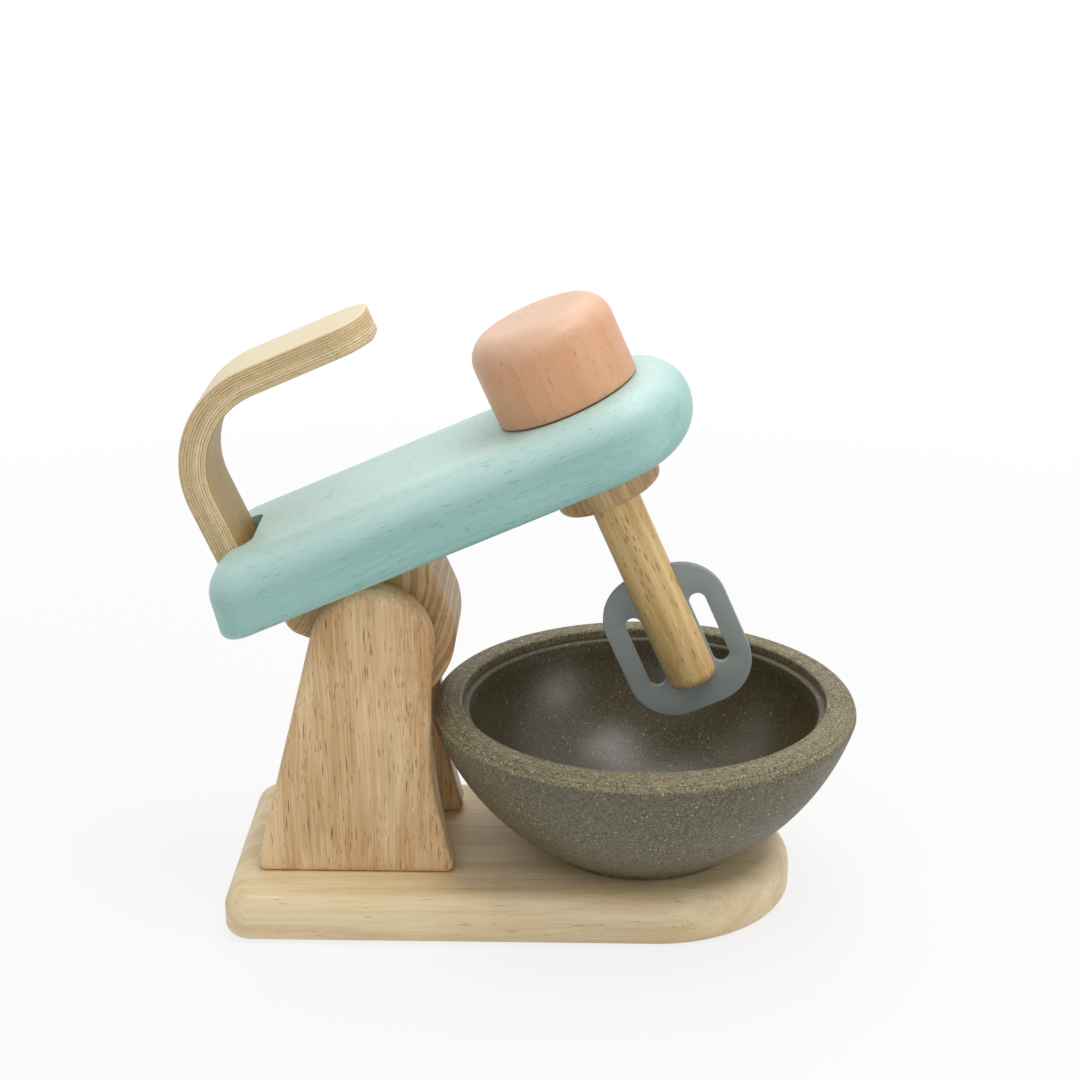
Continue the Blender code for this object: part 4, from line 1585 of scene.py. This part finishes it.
@dataclass
class Spindle:
    """What the knob turns: knob, dowel, drive disc and washers."""

    frames: Frames
    head_under: float = 0.0225
    head_top: float = 0.0485
    knob_radius: float = 0.0259
    knob_height: float = 0.03092
    knob_round: float = 0.010
    knob_seat: float = 0.016
    knob_lift: float = 0.0005
    knob_foot: float = 0.0008
    knob_recess: float = 0.0065
    disc_radius: float = 0.0192
    disc_thick: float = 0.011
    disc_eases: Flat = (0.001, 0.003)
    washer: float = 0.0008
    washer_reach: float = 0.006
    shaft: float = 0.009
    shaft_cut: float = 0.0008

    @property
    def knob_under(self) -> float:
        """Height of the knob's underside above the pivot."""
        return self.head_top + self.washer + 2 * GAP

    @property
    def disc_under(self) -> float:
        """Height of the disc's underside above the pivot."""
        return self.head_under - self.washer - 2 * GAP - self.disc_thick

    def at(self, height: float) -> Matrix:
        """A frame on the spindle's axis."""
        return self.frames.spindle @ Matrix.Translation((0, 0, height))

    def knob(self) -> bpy.types.Object:
        """The knob, with its bore and a recess that hides the washer.

        Returns:
            The object.
        """
        bore, seat, small = self.shaft + GAP, self.knob_seat + GAP, self.knob_foot
        skirt, recess = self.washer + 2 * GAP - self.knob_lift, self.shaft + self.knob_recess
        shoulder = (self.knob_radius - self.knob_round, self.knob_height - self.knob_round)
        profile = [(0.0, self.knob_height), (shoulder[0] * 0.9, self.knob_height)]
        profile += arc(shoulder, self.knob_round, 90, 0)
        profile += arc((self.knob_radius - small, small - skirt), small, 0, -90)
        profile += [(recess, -skirt), (recess, 0), (bore, 0), (bore, seat), (0, seat)]
        return Bench.lathe("pink_knob", profile, self.at(self.knob_under), steps=192)

    def disc(self) -> bpy.types.Object:
        """The drive disc.

        Returns:
            The object.
        """
        bore, (over, under) = self.shaft + GAP, self.disc_eases
        profile = arc((self.disc_radius - over, self.disc_thick - over), over, 90, 0)
        profile += arc((self.disc_radius - under, under), under, 0, -90)
        profile += [(bore, 0), (bore, self.disc_thick)]
        return Bench.lathe("disc", profile, self.at(self.disc_under), closed=True, steps=192)

    def dowel(self) -> bpy.types.Object:
        """The dowel through the head, with the socket for the beater's ball.

        Returns:
            The object.
        """
        length = self.knob_under + self.knob_seat - self.disc_under
        radius, cut = self.shaft, self.shaft_cut
        profile = [(0, length), (radius - cut, length), (radius, length - cut), (radius, cut)]
        profile += [(radius - cut, 0), (SOCKET[0], 0), SOCKET, (0, SOCKET[1])]
        return Bench.lathe("spindle_shaft", profile, self.at(self.disc_under), steps=96)

    def ring(self, name: str, height: float) -> bpy.types.Object:
        """One washer.

        Args:
            name: The piece's name.
            height: Height of its underside above the pivot.

        Returns:
            The object.
        """
        inner, outer = self.shaft + GAP, self.shaft + self.washer_reach
        profile = [(outer, self.washer), (outer, 0), (inner, 0), (inner, self.washer)]
        return Bench.lathe(name, profile, self.at(height), closed=True, steps=96)

    def build(self, nylon: Nylon) -> None:
        """Make and dress the spindle.

        Args:
            nylon: The washers' finish.
        """
        pink = Timber(
            "pink_stained_rubberwood",
            pale=srgb(227, 174, 134),
            deep=srgb(209, 150, 109),
            pore=srgb(170, 100, 66),
            grain=Grain.ALONG_Z,
            heart=(0.050, 0.030),
            rings=0.25,
            fibres=0.35,
            threads=0.2,
            clouds=0.45,
            pore_share=0.34,
            pore_length=0.0026,
            pore_mark=0.85,
            # Painted highlight: paler pink blended in towards the knob's top, standing for light on its
            # upper face.
            painted_top_light=srgb(230, 198, 172),
            painted_top_light_heights=(0.019, 0.030),
            roughness=0.42,
            coat=0.2,
        )
        wood = Timber(
            "clear_rubberwood",
            pale=srgb(214, 182, 132),
            deep=srgb(164, 124, 78),
            pore=srgb(112, 74, 42),
            grain=Grain.ALONG_Z,
            heart=(0.030, -0.040),
            threads=0.7,
            pore_share=0.7,
            shift=0.4,
        )
        Bench.fit(self.knob(), "spindle", "pink_stained_wood", pink, "speed_knob")
        Bench.fit(self.disc(), "spindle", "rubberwood", wood, "drive_disc")
        Bench.fit(self.dowel(), "spindle", "rubberwood", wood, "spindle_dowel")
        upper = self.ring("upper_washer", self.head_top + GAP)
        lower = self.ring("lower_washer", self.head_under - GAP - self.washer)
        Bench.fit(upper, "spindle", "nylon", nylon, "knob_washer")
        Bench.fit(lower, "spindle", "nylon", nylon, "disc_washer")


@dataclass
class Beater:
    """The dowel, the slotted paddle in its slit and the ball that it hangs on."""

    frames: Frames
    top: float = 0.0098
    length: float = 0.077
    radius: float = 0.009
    end_round: float = 0.004
    cup: Flat = (0.0048, 0.001)
    top_cut: float = 0.0009
    slit: Flat = (0.024, 0.004)
    width: float = 0.046
    height: float = 0.056
    thick: float = 0.0025
    corner: float = 0.017
    drop: float = 0.0106
    slot_width: float = 0.0061
    slot_length: float = 0.0282
    slot_rise: float = 0.014
    land: float = 0.0004
    paddle_edge: Edge = Edge(0.0004, 0.0004, 4)
    paddle_ease: float = 0.0003

    @property
    def low(self) -> float:
        """Height of the dowel's lower end above the pivot."""
        return self.top - self.length

    def dowel(self) -> bpy.types.Object:
        """The slit dowel, with its cupped top.

        Returns:
            The object.
        """
        length, radius, cut = self.length, self.radius, self.top_cut
        floor, hole = length - self.cup[1], length - STEM[1]
        profile = [(0, hole), (STEM[0], hole), (STEM[0], floor)]
        profile += [(self.cup[0], floor), (self.cup[0], length), (radius - cut, length)]
        profile += [(radius, length - cut)]
        profile += arc((radius - self.end_round, self.end_round), self.end_round, 0, -90)
        profile.append((0, 0))
        place = self.frames.spindle @ Matrix.Translation((0, 0, self.low))
        item = Bench.lathe("beater_stick", profile, place, steps=128)
        reach = self.height - self.drop + GAP
        wide, under = self.slit
        size = (wide, self.thick + 2 * GAP, reach + under)
        slit = Bench.block("slit_cutter", size, place @ Matrix.Translation((0, 0, (reach - under) / 2)))
        Bench.carve(item, slit)
        return item

    def paddle(self) -> bpy.types.Object:
        """The paddle, with its two slots and eased edges.

        Returns:
            The object.
        """
        half, radius = self.width / 2, self.slot_width / 2
        outline = filleted(
            [
                (-half, 0, self.corner),
                (half, 0, self.corner),
                (half, self.height, self.corner),
                (-half, self.height, self.corner),
            ]
        )
        stand = Matrix.Translation((0, 0, self.low - self.drop)) @ STANDING
        place = self.frames.spindle @ stand @ Matrix.Translation((0, 0, -self.thick / 2))
        edges = (self.paddle_edge, self.paddle_edge)
        item = Bench.board("grey_paddle", outline, self.thick, edges, place)
        tools = []
        for side in (-1, 1):
            x = side * (self.radius + self.land + radius)
            low, high = self.slot_rise + radius, self.slot_rise + self.slot_length - radius
            slot = arc((x, low), radius, 180, 360) + arc((x, high), radius, 0, 180)
            lift = place @ Matrix.Translation((0, 0, -OVERCUT / 2))
            deep = self.thick + OVERCUT
            tools.append(Bench.board(f"slot_cutter{side}", slot, deep, (SHARP, SHARP), lift))
        Bench.carve(item, *tools)
        ease = item.modifiers.new("ease", "BEVEL")
        ease.width, ease.segments, ease.limit_method = self.paddle_ease, 2, "ANGLE"
        ease.angle_limit = math.radians(60)
        Bench.settle(item)
        item.data.transform(Matrix.Translation((0, 0, -self.thick / 2)))
        item.matrix_world = item.matrix_world @ Matrix.Translation((0, 0, self.thick / 2))
        return item

    def build(self, nylon: Nylon) -> None:
        """Make and dress the beater.

        Args:
            nylon: The ball's finish.
        """
        wood = Timber(
            "clear_rubberwood",
            pale=srgb(233, 203, 143),
            deep=srgb(200, 158, 96),
            pore=srgb(140, 84, 38),
            grain=Grain.ALONG_Z,
            heart=(0.018, 0.024),
            threads=0.8,
            pore_share=1.0,
            pore_length=0.0046,
            pore_width=0.00062,
            shift=0.55,
        )
        # The second colour is the painted highlight on the paddle's cut edge.
        face, edge = srgb(132, 139, 138), srgb(158, 166, 165)
        grey = MattPaint("slate_paint", face=face, edge=edge, thick=self.thick)
        Bench.fit(self.dowel(), "beater", "rubberwood", wood, "beater_dowel")
        Bench.fit(self.paddle(), "beater", "grey_painted_plywood", grey, "beater_paddle")
        top = self.frames.spindle @ Matrix.Translation((0, 0, self.top))
        Bench.fit(Peg().build("beater_ball", top), "beater", "nylon", nylon, "beater_peg")


@dataclass
class Bowl:
    """The loose bowl, thick walled, with a stepped rim and a small foot."""

    place_x: float = 0.047699
    place_z: float = 0.0193
    radius: float = 0.077
    height: float = 0.0572
    rim_round: float = 0.005
    rim_width: float = 0.011
    step_drop: float = 0.0035
    step_width: float = 0.0026
    lip: float = 0.0012
    foot: float = 0.036
    foot_round: float = 0.0015
    bulge: float = 0.006
    floor: float = 0.006
    floor_radius: float = 0.022
    hollow: float = 0.010

    def profile(self) -> Outline:
        """Half section, up the hollow, over the stepped rim and down outside.

        Returns:
            Radius and height of each point.
        """
        mouth = self.radius - self.rim_width
        throat = mouth - self.step_width
        ledge = self.height - self.step_drop
        step = (throat + self.lip, ledge - self.lip)
        lip = (mouth + self.lip, self.height - self.lip)
        rim = (self.radius - self.rim_round, self.height - self.rim_round)
        foot = (self.foot - self.foot_round, self.foot_round)
        inside = bulged((self.floor_radius, self.floor), (throat, step[1]), self.hollow)
        wall = bulged((self.foot, self.foot_round), (self.radius, rim[1]), self.bulge)
        points = [(0, self.floor)] + inside[:-1]
        points += arc(step, self.lip, 180, 90) + [(mouth, ledge)]
        points += arc(lip, self.lip, 180, 90)
        points += arc(rim, self.rim_round, 90, 0)
        points += wall[-2:0:-1]
        points += arc(foot, self.foot_round, 0, -90)
        return points + [(0, 0)]

    def build(self) -> None:
        """Make and dress the bowl."""
        place = Matrix.Translation((self.place_x, 0, self.place_z))
        item = Bench.lathe("fibre_bowl", self.profile(), place, steps=256)
        fibre = WoodFibre("moulded_wood_fibre", ledge=self.height - self.step_drop, height=self.height)
        Bench.fit(item, "bowl", "wood_fibre", fibre, "bowl")


@dataclass(frozen=True)
class Lamp:
    """One soft box that faces the mixer."""

    name: str
    place: tuple[float, float, float]
    size: Flat
    power: float
    tint: Colour = (1.0, 0.99, 0.98)


@dataclass
class Studio:
    """Pale floor, soft lamps and the camera."""

    target: Vector = field(default_factory=lambda: Vector((0.010241, 0, 0.135762)))
    turn: float = 0.035
    climb: float = 0.337
    roll: float = 0.005
    distance: float = 0.819872
    lens: float = 76.79
    ambient: float = 0.50
    lamps: tuple[Lamp, ...] = (
        Lamp("behind", (-0.020, 0.540, 1.090), (0.7, 0.6), 3.0),
        Lamp("above", (0.285, -0.154, 1.142), (0.6, 0.6), 4.6),
        Lamp("front_left", (-0.273, -0.616, 0.985), (0.6, 0.6), 1.0),
        Lamp("right", (0.958, -0.432, 0.354), (0.45, 0.45), 1.5),
    )

    def camera(self) -> None:
        """Put the camera where the photographer's was."""
        data = bpy.data.cameras.new("camera")
        data.lens, data.sensor_width = self.lens, 36
        data.clip_start, data.clip_end = 0.05, 50
        item = bpy.data.objects.new("camera", data)
        bpy.context.scene.collection.objects.link(item)
        level = math.cos(self.climb)
        back = Vector((math.sin(self.turn) * level, -math.cos(self.turn) * level, math.sin(self.climb)))
        right = Vector((math.cos(self.turn), math.sin(self.turn), 0))
        up = back.cross(right)
        across = right * math.cos(self.roll) - up * math.sin(self.roll)
        above = right * math.sin(self.roll) + up * math.cos(self.roll)
        turn = Matrix((across, above, back)).transposed().to_4x4()
        item.matrix_world = Matrix.Translation(self.target + back * self.distance) @ turn
        bpy.context.scene.camera = item

    def hang(self, lamp: Lamp) -> None:
        """Hang one soft box, aimed at the mixer.

        Args:
            lamp: The soft box.
        """
        data = bpy.data.lights.new(lamp.name, "AREA")
        data.shape, data.size, data.size_y = "RECTANGLE", lamp.size[0], lamp.size[1]
        data.energy, data.color = lamp.power, lamp.tint
        item = bpy.data.objects.new(lamp.name, data)
        bpy.context.scene.collection.objects.link(item)
        item.location = lamp.place
        aim = self.target - Vector(lamp.place)
        item.rotation_euler = aim.to_track_quat("-Z", "Y").to_euler()

    def world(self) -> None:
        """An even pale surround that looks white to the camera."""
        world = bpy.data.worlds.new("surround")
        bpy.context.scene.world = world
        world.use_nodes = True
        tree = world.node_tree
        tree.nodes.clear()
        path = tree.nodes.new("ShaderNodeLightPath")
        seen = path.outputs["Is Camera Ray"]
        for name in ("Is Glossy Ray", "Is Transmission Ray"):
            either = tree.nodes.new("ShaderNodeMath")
            either.operation = "MAXIMUM"
            tree.links.new(seen, either.inputs[0])
            tree.links.new(path.outputs[name], either.inputs[1])
            seen = either.outputs[0]
        strength = tree.nodes.new("ShaderNodeMapRange")
        strength.inputs["To Min"].default_value = self.ambient
        strength.inputs["To Max"].default_value = 1.0
        tree.links.new(seen, strength.inputs["Value"])
        light = tree.nodes.new("ShaderNodeBackground")
        light.inputs["Color"].default_value = (1.0, 1.0, 1.0, 1.0)
        tree.links.new(strength.outputs["Result"], light.inputs["Strength"])
        out = tree.nodes.new("ShaderNodeOutputWorld")
        tree.links.new(light.outputs["Background"], out.inputs["Surface"])

    def floor(self) -> None:
        """A plain pale floor that keeps the mixer's shadow and fades to white."""
        shape = bmesh.new()
        bmesh.ops.create_grid(shape, x_segments=1, y_segments=1, size=8)
        item = Bench.solid("floor", shape, Matrix.Translation((0, 0, -0.0002)))
        graph = Graph("pale_floor", Matrix())
        x, y, z = graph.place()
        distance = (x * x + y * y) ** 0.5
        path = graph.add("ShaderNodeLightPath", output="Is Camera Ray")
        seen = path.highest(path.other("Is Glossy Ray")).highest(path.other("Is Transmission Ray"))
        share = (graph.fade(distance, 0.22, 0.75) * 0.2 + 0.8) * seen
        matt = graph.add("ShaderNodeBsdfDiffuse", {}, {"Color": (0.86, 0.86, 0.86)})
        glow = graph.add("ShaderNodeEmission", {}, {"Color": (1.0, 1.0, 1.0), "Strength": 1.0})
        shader = graph.add("ShaderNodeMixShader", {}, {0: share, 1: matt, 2: glow})
        item.data.materials.append(graph.close(shader))

    def build(self) -> None:
        """Set the stage."""
        bpy.context.scene.view_settings.view_transform = "Standard"
        self.camera()
        self.world()
        self.floor()
        for lamp in self.lamps:
            self.hang(lamp)


def main() -> None:
    """Build the mixer's looks."""
    logging.basicConfig(level=logging.INFO, format="%(name)s: %(message)s")
    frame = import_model()
    solids = frame["nodes"]
    nylon = Nylon("milky_nylon")
    places = frames()
    Studio().build()
    Stand().build(solids, nylon)
    PivotBlock(places).build(nylon)
    Head(places).build(nylon)
    Spindle(places).build(nylon)
    Beater(places).build(nylon)
    Bowl().build()


if __name__ == "__main__":
    main()
